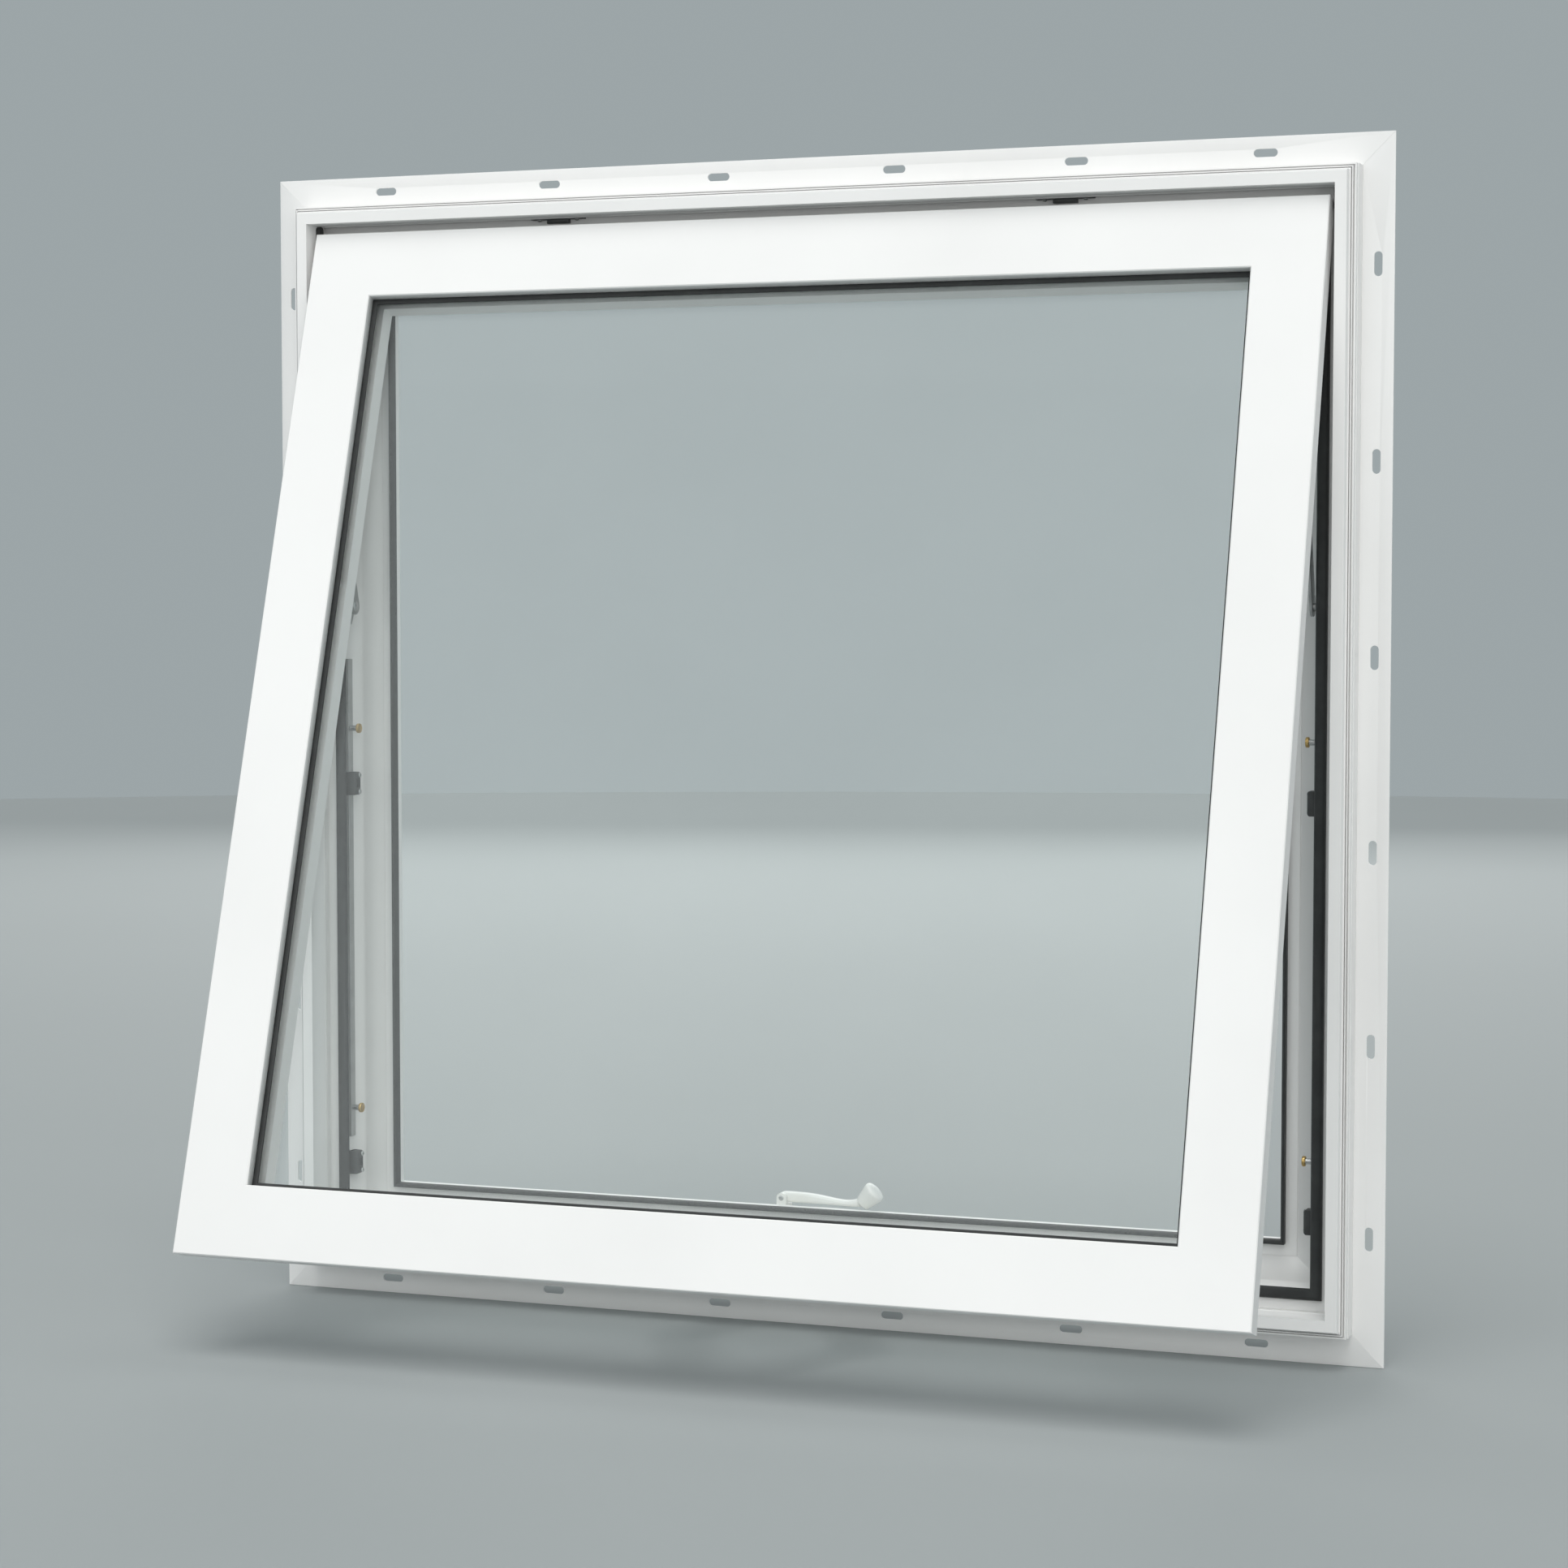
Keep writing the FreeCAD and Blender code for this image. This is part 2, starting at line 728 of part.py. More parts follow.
def knob():
    """Flared knob of the handle with a sloped crown, turned about its own axis from the foot up."""
    b = knob_base_radius
    r = knob_radius
    n = knob_length
    profile = [(0, 0), (b, 0), (r, n), (0.6 * r, 1.2 * n), (0, 1.2 * n)]
    half = Part.Face(polygon([(a, 0, h) for a, h in profile]))
    return half.revolve(V(0, 0, 0), V(0, 0, 1), 360)


def crank_handle():
    """Folded handle: S shaped arm from its pivot to a flared knob that tilts up at the end."""
    r = handle_half
    y0 = handle_y - handle_width / 2

    def place(u, v):
        return V(handle_x + u * handle_reach, y0, handle_z + v * r)

    crest = Part.Arc(place(0, 1), place(0.35, 0.85), place(0.64, 0.2)).toShape()
    dip = Part.Arc(place(0.64, 0.2), place(0.78, 0), place(0.93, 0.5)).toShape()
    under = Part.makePolygon([place(0.93, 0.5), place(0.93, -1.15), place(0.45, -1), place(0, -1)])
    eye_end = Part.Arc(place(0, -1), V(handle_x - r, y0, handle_z), place(0, 1)).toShape()
    outline = Part.Wire([crest, dip] + under.Edges + [eye_end])
    body = Part.Face(outline).extrude(V(0, handle_width, 0))
    grip = knob()
    grip.rotate(V(0, 0, 0), V(0, 1, 0), 90 - knob_tilt)
    grip.translate(V(handle_x + handle_reach - 1.5, handle_y, handle_z - 0.55 * r))
    body = body.fuse(grip).removeSplitter()
    hole = handle_pin_radius + rivet_gap
    return body.cut(cylinder(hole, (handle_x, y0 - 1, handle_z), (handle_x, y0 + handle_width + 1, handle_z)))


def snubbers():
    """Pair of snubbers on the seal step of the head."""
    top = frame_low + frame_height - lip_reveal
    pieces = []
    for x in (-snubber_x, snubber_x):
        half = snubber_block / 2
        front = seal_step_y - snubber_depth
        body = box(x - half, x + half, front, seal_step_y, top - snubber_height, top)
        body = bevelled(body, snubber_chamfer, 1, front)
        wide = half + snubber_tab
        tab = box(x - wide, x + wide, front, seal_step_y, top - snubber_tab_thickness, top)
        pieces.append(body.fuse(tab).removeSplitter())
    return pieces


def keepers():
    """Keepers on the left stile: a plate with a lip that the raised pin head stands behind."""
    pieces = []
    for z in lock_pin_heights:
        low = z - 2 * lock_head_radius
        high = z + lock_travel + 2 * lock_head_radius
        x0 = sash_x - keeper_thickness
        lip_y = lock_bar_y + lock_head_radius + keeper_gap
        y0 = lip_y + keeper_lip - keeper_width
        plate = box(x0, sash_x, y0, y0 + keeper_width, low, high)
        lip_low = z + lock_travel - lock_head_radius
        lip_x = lock_tip_x - keeper_hold
        lip = box(lip_x, x0, lip_y, lip_y + keeper_lip, lip_low, high)
        pieces.append(opened(plate.fuse(lip).removeSplitter()))
    return pieces


def bulb_section():
    """Bulb seal on the seal step of the frame."""
    edge = hardware_reveal + bulb_overhang
    front = seal_step_y - bulb_height
    return [
        (bulb_inset, seal_step_y),
        (hardware_reveal, seal_step_y),
        (edge, seal_step_y - 0.5),
        (edge - 1.5, front),
        (bulb_inset + 1.8, front),
        (bulb_inset, front + 3),
    ]


def fin_seal_section():
    """Upright seal on the inner edge of the interior stop."""
    outer = stop_edge - fin_seal_width
    front = stop_y - fin_seal_height
    return [
        (outer, stop_y),
        (stop_edge, stop_y),
        (stop_edge - 0.4, stop_y - 4.4),
        (outer + 1.4, front),
        (outer, front + 0.8),
    ]


def glazing_seal_section():
    """Wedge seal between the front leg and the outer pane."""
    return [
        (pane_inset + 3, glass_front_y - glazing_seal),
        (rail_width, glass_front_y - glazing_seal),
        (rail_width + glazing_lip, glass_front_y),
        (pane_inset + 3, glass_front_y),
    ]


def spacer_section():
    """Spacer between the panes."""
    return rectangle(pane_inset, pane_inset + spacer_width, space_y, inner_pane_y)


nodes = {}
sides = ("head", "sill", "left", "right")
frame_names = {"head": "frame_head", "sill": "frame_sill", "left": "frame_jamb_left", "right": "frame_jamb_right"}
sash_names = {"head": "sash_top_rail", "sill": "sash_bottom_rail", "left": "sash_stile_left", "right": "sash_stile_right"}
frame_outline, frame_chambers = frame_section()
sash_outline, sash_chambers = sash_section()
for name in sides:
    nodes[frame_names[name]] = notched(side(name, frame_outline, frame_chambers, frame_width, frame_height))
    nodes["nail_fin_" + name] = fin(name)
    nodes[sash_names[name]] = opened(side(name, sash_outline, sash_chambers, sash_width, sash_height))
    nodes["glazing_bead_" + name] = opened(side(name, bead_section(), [], sash_width, sash_height))

nodes["bulb_seal"] = ring(bulb_section(), frame_width, frame_height)
nodes["stop_seal"] = ring(fin_seal_section(), frame_width, frame_height)
nodes["glazing_seal"] = opened(ring(glazing_seal_section(), sash_width, sash_height))
nodes["glass_spacer"] = opened(ring(spacer_section(), sash_width, sash_height))
nodes["glass_outer"] = opened(pane(glass_front_y))
nodes["glass_inner"] = opened(pane(inner_pane_y))
pairs = {
    "stay_track": stay_track(),
    "stay_arm": stay_arm(),
    "sash_arm": sash_arm(),
    "lock_bar": lock_bar(),
    "lock_pins": compound(lock_pins()),
    "operator_arm": operator_arm(),
    "operator_link": operator_link(),
}
for name, shape in pairs.items():
    nodes[name + "_left"] = shape
    nodes[name + "_right"] = mirrored(shape)
shoe = stay_shoe()
nodes["stay_shoes"] = compound([shoe, mirrored(shoe)])
blocks = alignment_blocks()
nodes["alignment_blocks"] = compound(blocks + [mirrored(b) for b in blocks])
plates = keepers()
nodes["lock_keepers"] = compound(plates + [mirrored(p) for p in plates])
nodes["head_snubbers"] = compound(snubbers())
nodes["operator_base"] = operator_base()
nodes["operator_yoke"] = operator_yoke()
nodes["operator_bracket"] = operator_bracket()
nodes["operator_cover"] = operator_cover()
nodes["crank_boss"] = crank_boss(nodes["operator_cover"])
nodes["crank_handle"] = crank_handle()

os.makedirs("parts", exist_ok=True)
for name, shape in nodes.items():
    shape.exportStep("parts/" + name + ".step")
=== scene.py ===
"""Dressing of a top hung awning window: finishes, rounded seals, fasteners, crank handle and studio."""
import json
import logging
import math
from dataclasses import dataclass, field
from enum import Enum
from typing import Callable, Iterable, NamedTuple, Sequence

import bmesh
import bpy
from mathutils import Matrix, Vector


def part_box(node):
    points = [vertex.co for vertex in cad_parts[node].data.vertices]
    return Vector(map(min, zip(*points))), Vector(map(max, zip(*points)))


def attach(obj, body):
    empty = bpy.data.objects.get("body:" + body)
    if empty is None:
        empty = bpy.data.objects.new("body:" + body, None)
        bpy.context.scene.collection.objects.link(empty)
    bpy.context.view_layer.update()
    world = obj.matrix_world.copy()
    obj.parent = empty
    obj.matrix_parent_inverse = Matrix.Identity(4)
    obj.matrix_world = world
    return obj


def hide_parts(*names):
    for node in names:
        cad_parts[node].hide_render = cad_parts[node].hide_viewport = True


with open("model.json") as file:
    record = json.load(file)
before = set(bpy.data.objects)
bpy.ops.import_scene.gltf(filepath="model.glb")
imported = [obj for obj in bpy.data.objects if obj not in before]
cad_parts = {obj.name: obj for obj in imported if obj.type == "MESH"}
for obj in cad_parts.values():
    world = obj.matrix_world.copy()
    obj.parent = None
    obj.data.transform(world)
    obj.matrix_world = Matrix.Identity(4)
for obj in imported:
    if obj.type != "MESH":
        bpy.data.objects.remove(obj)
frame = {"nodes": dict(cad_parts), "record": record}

LOG = logging.getLogger("awning_window")
MM = 0.001
SAME = 1e-6
SIDES = ("left", "right")
Colour = tuple[float, float, float]
Point2 = tuple[float, float]
Point3 = tuple[float, float, float]
Place = tuple[Point3, Point3]
Socket = bpy.types.NodeSocket
Material = bpy.types.Material
Piece = bpy.types.Object
Mesh = bmesh.types.BMesh
Edge = bmesh.types.BMEdge


class Body(Enum):
    """Moving bodies of the window."""

    FRAME = "frame"
    SASH = "sash"
    STAY_ARMS = "stay_arms"
    STAY_SHOES = "stay_shoes"
    LOCK_LEFT = "lock_left"
    LOCK_RIGHT = "lock_right"
    YOKE = "yoke"
    ARM_LEFT = "arm_left"
    ARM_RIGHT = "arm_right"
    LINK_LEFT = "link_left"
    LINK_RIGHT = "link_right"
    HANDLE = "handle"


class Slot(Enum):
    """Names of material slots of the record, handed to fit, which does not use them."""

    FRAME_VINYL = "frame_vinyl"
    SASH_VINYL = "sash_vinyl"
    SEAL = "seal_rubber"
    STEEL = "stay_steel"
    BRASS = "pin_brass"
    NYLON = "dark_nylon"
    ENAMEL = "hardware_white"


class Run(Enum):
    """Direction in which a length was extruded or brushed."""

    ACROSS = (1.0, 0.0, 0.0)
    UPRIGHT = (0.0, 0.0, 1.0)
    INWARD = (0.0, 1.0, 0.0)


class Recess(Enum):
    """Drive of a fastener's head."""

    CROSS = True
    NONE = False


class Bump(NamedTuple):
    """One layer of relief: its height pattern, depth in metres and strength."""

    height: Socket
    depth: float
    strength: float


class Wiring:
    """Node tree whose nodes are added with their inputs set or linked."""

    def __init__(self, tree: bpy.types.NodeTree) -> None:
        """Take the tree that the nodes go into."""
        self.tree = tree

    def node(self, kind: str, **inputs: Socket | float | str | Point3) -> bpy.types.Node:
        """Add a node and set or link its inputs.

        Args:
            kind: Blender's name of the node type.
            inputs: value or source of inputs, underscores standing for spaces.

        Returns:
            The new node.
        """
        node = self.tree.nodes.new(kind)
        for label, source in inputs.items():
            target = node.inputs[label.replace("_", " ")]
            if isinstance(source, Socket):
                self.tree.links.new(source, target)
            else:
                target.default_value = source
        return node

    def math(self, operation: str, value: Socket, number: float) -> Socket:
        """Arithmetic on a value.

        Args:
            operation: Blender's name of the operation.
            value: first operand.
            number: constant second operand.

        Returns:
            The result.
        """
        node = self.tree.nodes.new("ShaderNodeMath")
        node.operation = operation
        node.inputs[1].default_value = number
        self.tree.links.new(value, node.inputs[0])
        return node.outputs["Value"]


class Graph(Wiring):
    """Node graph of one material around a Principled shader."""

    PATTERN_LOW = 0.3
    PATTERN_HIGH = 0.7

    def __init__(self, name: str) -> None:
        """Start an empty graph.

        Args:
            name: name of the new material.
        """
        self.material = bpy.data.materials.new(name)
        self.material.use_nodes = True
        super().__init__(self.material.node_tree)
        self.tree.nodes.clear()
        self.output = self.node("ShaderNodeOutputMaterial")
        self.surface = self.node("ShaderNodeBsdfPrincipled")
        self.tree.links.new(self.surface.outputs["BSDF"], self.output.inputs["Surface"])
        self.coords = self.node("ShaderNodeTexCoord")

    def set(self, **values: float) -> None:
        """Set constant values on the shader's own sockets, underscores standing for spaces."""
        for key, value in values.items():
            self.surface.inputs[key.replace("_", " ")].default_value = value

    def feed(self, socket: str, source: Socket) -> None:
        """Link a node's output to a socket of the shader."""
        self.tree.links.new(source, self.surface.inputs[socket])

    def place(self, scale: Point3 = (1.0, 1.0, 1.0), turn: Point3 = (0.0, 0.0, 0.0)) -> Socket:
        """Object coordinates, turned and then stretched.

        Args:
            scale: stretch along each turned axis.
            turn: turn about each axis in radians.

        Returns:
            The coordinate socket.
        """
        turned = self.node("ShaderNodeMapping", Vector=self.coords.outputs["Object"], Rotation=turn)
        stretched = self.node("ShaderNodeMapping", Vector=turned.outputs["Vector"], Scale=scale)
        return stretched.outputs["Vector"]

    def noise(self, where: Socket, scale: float, detail: float, rough: float = 0.5) -> Socket:
        """Noise pattern.

        Args:
            where: coordinate socket.
            scale: features per metre.
            detail: octaves.
            rough: weight of the finer octaves.

        Returns:
            The pattern from 0 to 1.
        """
        node = self.node("ShaderNodeTexNoise", Vector=where, Scale=scale, Detail=detail, Roughness=rough)
        return node.outputs["Fac"]

    def span(self, source: Socket, low: float, high: float) -> Socket:
        """Spread the middle of a pattern between two values.

        Args:
            source: pattern from 0 to 1.
            low: value at the pattern's low side.
            high: value at its high side.

        Returns:
            The spread value.
        """
        node = self.node(
            "ShaderNodeMapRange",
            Value=source,
            From_Min=self.PATTERN_LOW,
            From_Max=self.PATTERN_HIGH,
            To_Min=low,
            To_Max=high,
        )
        return node.outputs["Result"]

    def blend(self, source: Socket, *stops: tuple[float, Colour]) -> Socket:
        """Colour a pattern.

        Args:
            source: pattern from 0 to 1.
            stops: place and colour of each stop.

        Returns:
            The colour socket.
        """
        node = self.node("ShaderNodeValToRGB", Fac=source)
        ramp = node.color_ramp
        while len(ramp.elements) < len(stops):
            ramp.elements.new(0.5)
        for element, (where, colour) in zip(ramp.elements, stops):
            element.position = where
            element.color = (*colour, 1.0)
        return node.outputs["Color"]

    def relief(self, *layers: Bump) -> None:
        """Stack bump layers and feed them to the shader.

        Args:
            layers: the layers, lowest first.
        """
        below = {}
        for layer in layers:
            node = self.node(
                "ShaderNodeBump", Height=layer.height, Distance=layer.depth, Strength=layer.strength, **below
            )
            below = {"Normal": node.outputs["Normal"]}
        self.feed("Normal", below["Normal"])


def along(run: Run, long: float, cross: float) -> Point3:
    """Texture scale that draws a pattern out along a run.

    Args:
        run: direction of the run.
        long: features per metre along it.
        cross: features per metre across it.

    Returns:
        Scale for each axis.
    """
    return tuple(long if part else cross for part in run.value)


def shade(tint: Colour, factor: float) -> Colour:
    """Darker or lighter shade of a colour.

    Args:
        tint: the colour.
        factor: share of its brightness.

    Returns:
        The shade, at most full white.
    """
    return tuple(min(1.0, factor * part) for part in tint)


def lift(tint: Colour, amount: float) -> Colour:
    """Dusty version of a dark colour.

    Args:
        tint: the colour.
        amount: grey that is added.

    Returns:
        The paler colour.
    """
    return tuple(part + amount for part in tint)


@dataclass(frozen=True)
class Vinyl:
    """Satin white extruded vinyl with faint die lines along its run."""

    name: str
    run: Run
    lean: float = 0.0
    tint: Colour = (0.87, 0.862, 0.853)
    roughness: float = 0.38

    def material(self) -> Material:
        """Build the finish."""
        graph = Graph(self.name)
        still = graph.place()
        drawn = graph.place(along(self.run, long=3.0, cross=900.0), (self.lean, 0.0, 0.0))
        cloud = graph.noise(still, scale=5.0, detail=4.0)
        lines = graph.noise(drawn, scale=1.0, detail=3.0, rough=0.7)
        grain = graph.noise(still, scale=2600.0, detail=2.0)
        dim, bright = shade(self.tint, 0.965), shade(self.tint, 1.015)
        graph.feed("Base Color", graph.blend(cloud, (0.3, dim), (0.55, self.tint), (0.75, bright)))
        graph.feed("Roughness", graph.span(lines, self.roughness - 0.04, self.roughness + 0.05))
        graph.relief(Bump(lines, depth=0.00002, strength=0.1), Bump(grain, depth=0.00002, strength=0.1))
        graph.set(Specular_IOR_Level=0.42, Coat_Weight=0.08, Coat_Roughness=0.3)
        return graph.material


@dataclass(frozen=True)
class Rubber:
    """Matt black seal with a fine skin and a trace of bloom."""

    name: str
    tint: Colour = (0.022, 0.024, 0.024)

    def material(self) -> Material:
        """Build the finish."""
        graph = Graph(self.name)
        still = graph.place()
        bloom = graph.noise(still, scale=38.0, detail=5.0, rough=0.6)
        skin = graph.noise(still, scale=3400.0, detail=3.0)
        graph.feed("Base Color", graph.blend(bloom, (0.42, self.tint), (0.72, lift(self.tint, 0.018))))
        graph.feed("Roughness", graph.span(bloom, 0.5, 0.68))
        graph.relief(Bump(skin, depth=0.00006, strength=0.35))
        graph.set(Specular_IOR_Level=0.4, Sheen_Weight=0.06, Sheen_Roughness=0.5)
        return graph.material


@dataclass(frozen=True)
class Glass:
    """Clear float glass that lets light through, mirrors more at low angles and carries traces of wiping."""

    name: str
    tint: Colour = (0.992, 0.998, 0.996)
    mirror: float = 0.022
    falloff: float = 5.0
    gleam: Colour = (0.96, 0.99, 0.98)
    dull_gleam: Colour = (0.9, 0.93, 0.92)

    def material(self) -> Material:
        """Build the finish."""
        graph = Graph(self.name)
        wiped = graph.place((2.0, 9.0, 5.0), (0.3, 0.0, 0.4))
        haze = graph.noise(wiped, scale=1.6, detail=5.0, rough=0.65)
        graph.feed("Roughness", graph.span(haze, 0.0, 0.014))
        graph.feed("Base Color", graph.blend(haze, (0.4, self.gleam), (0.8, self.dull_gleam)))
        graph.set(Metallic=1.0)
        body = graph.blend(haze, (0.4, self.tint), (0.8, shade(self.tint, 0.996)))
        clear = graph.node("ShaderNodeBsdfTransparent", Color=body)
        angle = graph.node("ShaderNodeLayerWeight", Blend=0.5)
        steep = graph.math("POWER", angle.outputs["Facing"], self.falloff)
        share = graph.node("ShaderNodeMapRange", Value=steep, To_Min=self.mirror)
        both = graph.node("ShaderNodeMixShader", Fac=share.outputs["Result"])
        graph.tree.links.new(clear.outputs["BSDF"], both.inputs[1])
        graph.tree.links.new(graph.surface.outputs["BSDF"], both.inputs[2])
        graph.tree.links.new(both.outputs["Shader"], graph.output.inputs["Surface"])
        return graph.material


@dataclass(frozen=True)
class Steel:
    """Brushed strip or turned steel."""

    name: str
    run: Run
    lean: float = 0.0
    tint: Colour = (0.5, 0.51, 0.51)
    roughness: float = 0.34

    def material(self) -> Material:
        """Build the finish."""
        graph = Graph(self.name)
        still = graph.place()
        drawn = graph.place(along(self.run, long=14.0, cross=2400.0), (self.lean, 0.0, 0.0))
        brush = graph.noise(drawn, scale=1.0, detail=3.0, rough=0.65)
        stain = graph.noise(still, scale=60.0, detail=4.0)
        graph.feed("Base Color", graph.blend(stain, (0.3, shade(self.tint, 0.78)), (0.6, self.tint)))
        graph.feed("Roughness", graph.span(brush, self.roughness - 0.1, self.roughness + 0.14))
        graph.relief(Bump(brush, depth=0.00003, strength=0.14))
        graph.set(Metallic=1.0, Anisotropic=0.4)
        return graph.material


@dataclass(frozen=True)
class Brass:
    """Turned brass with a thin tarnish."""

    name: str
    tint: Colour = (0.72, 0.5, 0.2)

    def material(self) -> Material:
        """Build the finish."""
        graph = Graph(self.name)
        still = graph.place()
        turned = graph.place(along(Run.ACROSS, long=4200.0, cross=160.0))
        tarnish = graph.noise(still, scale=420.0, detail=4.0)
        rings = graph.noise(turned, scale=1.0, detail=2.0)
        graph.feed("Base Color", graph.blend(tarnish, (0.32, shade(self.tint, 0.6)), (0.62, self.tint)))
        graph.feed("Roughness", graph.span(tarnish, 0.4, 0.24))
        graph.relief(Bump(rings, depth=0.00003, strength=0.3))
        graph.set(Metallic=1.0)
        return graph.material


@dataclass(frozen=True)
class Nylon:
    """Dark moulded nylon with a spark-eroded grain."""

    name: str
    tint: Colour = (0.035, 0.038, 0.038)

    def material(self) -> Material:
        """Build the finish."""
        graph = Graph(self.name)
        still = graph.place()
        flow = graph.noise(still, scale=90.0, detail=4.0)
        grain = graph.noise(still, scale=2200.0, detail=3.0, rough=0.6)
        graph.feed("Base Color", graph.blend(flow, (0.35, self.tint), (0.7, lift(self.tint, 0.016))))
        graph.feed("Roughness", graph.span(grain, 0.42, 0.6))
        graph.relief(Bump(grain, depth=0.00006, strength=0.2))
        graph.set(Specular_IOR_Level=0.45)
        return graph.material


@dataclass(frozen=True)
class Enamel:
    """White baked enamel with a soft orange peel."""

    name: str
    tint: Colour = (0.86, 0.865, 0.855)

    def material(self) -> Material:
        """Build the finish."""
        graph = Graph(self.name)
        still = graph.place()
        peel = graph.noise(still, scale=520.0, detail=2.0)
        cloud = graph.noise(still, scale=24.0, detail=4.0)
        red, green, blue = self.tint
        graph.feed("Base Color", graph.blend(cloud, (0.35, self.tint), (0.75, (red, 0.985 * green, 0.95 * blue))))
        graph.feed("Roughness", graph.span(cloud, 0.24, 0.36))
        graph.relief(Bump(peel, depth=0.00012, strength=0.18))
        graph.set(Specular_IOR_Level=0.5, Coat_Weight=0.25, Coat_Roughness=0.12)
        return graph.material


@dataclass(frozen=True)
class SpacerStrip:
    """Dull grey spacer between the panes with rows of small vents."""

    name: str
    tint: Colour = (0.5, 0.51, 0.51)

    def material(self) -> Material:
        """Build the finish."""
        graph = Graph(self.name)
        still = graph.place()
        vents = graph.node("ShaderNodeTexVoronoi", Vector=still, Scale=360.0)
        dull = graph.noise(still, scale=150.0, detail=3.0)
        graph.feed("Base Color", graph.blend(dull, (0.3, shade(self.tint, 0.72)), (0.6, self.tint)))
        graph.feed("Roughness", graph.span(dull, 0.4, 0.55))
        graph.relief(Bump(vents.outputs["Distance"], depth=0.0002, strength=0.35))
        graph.set(Metallic=0.6)
        return graph.material


@dataclass(frozen=True)
class StudioPaint:
    """Plain pale paint of the studio floor."""

    name: str
    tint: Colour = (0.35, 0.374, 0.378)

    def material(self) -> Material:
        """Build the finish."""
        graph = Graph(self.name)
        cloud = graph.noise(graph.place(), scale=0.8, detail=3.0)
        graph.feed("Base Color", graph.blend(cloud, (0.35, self.tint), (0.7, shade(self.tint, 1.03))))
        graph.feed("Roughness", graph.span(cloud, 0.75, 0.85))
        graph.set(Specular_IOR_Level=0.2)
        return graph.material


@dataclass
class Finishes:
    """All finishes of the window, built once."""

    lean: float
    made: dict[str, Material] = field(default_factory=dict)

    def build(self) -> None:
        """Build every finish under its own key."""
        lean = math.radians(self.lean)
        finishes = {
            "frame_across": Vinyl("frame_vinyl_across", Run.ACROSS),
            "frame_upright": Vinyl("frame_vinyl_upright", Run.UPRIGHT),
            "sash_across": Vinyl("sash_vinyl_across", Run.ACROSS, lean),
            "sash_upright": Vinyl("sash_vinyl_upright", Run.UPRIGHT, lean),
            "seal": Rubber("seal_black"),
            "glass": Glass("float_glass"),
            "steel_upright": Steel("stay_strip", Run.UPRIGHT),
            "steel_leaning": Steel("stay_strip_leaning", Run.UPRIGHT, lean),
            "steel_arm": Steel("operator_strip", Run.INWARD, tint=(0.42, 0.43, 0.43)),
            "steel_bright": Steel("fastener_bright", Run.ACROSS, tint=(0.6, 0.61, 0.61), roughness=0.26),
            "brass": Brass("pin_brass_turned"),
            "nylon": Nylon("block_nylon"),
            "snubber": Nylon("snubber_nylon", (0.09, 0.095, 0.095)),
            "enamel": Enamel("hardware_enamel"),
            "spacer": SpacerStrip("spacer_dull"),
        }
        for key, finish in finishes.items():
            self.made[key] = finish.material()

    def __getitem__(self, key: str) -> Material:
        """Finish by its key."""
        return self.made[key]


def linked(name: str, data: bpy.types.ID) -> Piece:
    """New object in the scene, at the origin.

    Args:
        name: name of the object.
        data: mesh, camera or light that it holds.

    Returns:
        The object.
    """
    obj = bpy.data.objects.new(name, data)
    bpy.context.scene.collection.objects.link(obj)
    return obj


def mesh_object(name: str, bm: Mesh, material: Material) -> Piece:
    """Turn a bmesh into a scene object.

    Args:
        name: name of the object and its mesh.
        bm: finished geometry, freed here.
        material: finish of the piece.

    Returns:
        The new object.
    """
    mesh = bpy.data.meshes.new(name)
    bm.to_mesh(mesh)
    bm.free()
    mesh.materials.append(material)
    return linked(name, mesh)


def smooth(piece: Piece, crease: float) -> Piece:
    """Shade a piece smooth, except where its faces turn sharply.

    Args:
        piece: finished piece.
        crease: turn in degrees past which an edge stays sharp.

    Returns:
        The same piece.
    """
    piece.data.shade_smooth()
    piece.data.set_sharp_from_angle(angle=math.radians(crease))
    return piece


def soften(bm: Mesh, edges: Sequence[Edge], width: float, steps: int) -> None:
    """Round edges of a mesh.

    Args:
        bm: mesh that is changed.
        edges: edges to round.
        width: width of the rounding in millimetres.
        steps: facets across it.
    """
    bmesh.ops.bevel(
        bm, geom=edges, offset=width * MM, offset_type="OFFSET", segments=steps, profile=0.5, affect="EDGES"
    )


def fit(obj: Piece, body: Body, slot: Slot, *nodes: str) -> None:
    """Hand a piece to the frame.

    Args:
        obj: finished piece.
        body: body that it rides on.
        slot: not used.
        nodes: CAD nodes that it stands for.
    """
    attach(obj, body.value)
    if nodes:
        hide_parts(*nodes)
    LOG.info("%s rides on %s, %d faces", obj.name, body.value, len(obj.data.polygons))


def paint(node: str, material: Material) -> None:
    """Give a CAD node that stays its finish.

    Args:
        node: name of the CAD node.
        material: finish.
    """
    obj = frame["nodes"][node]
    obj.data.materials.clear()
    obj.data.materials.append(material)
    LOG.info("%s painted with %s", node, material.name)


def never(edge: Edge) -> bool:
    """Test that keeps no edge sharp."""
    return False


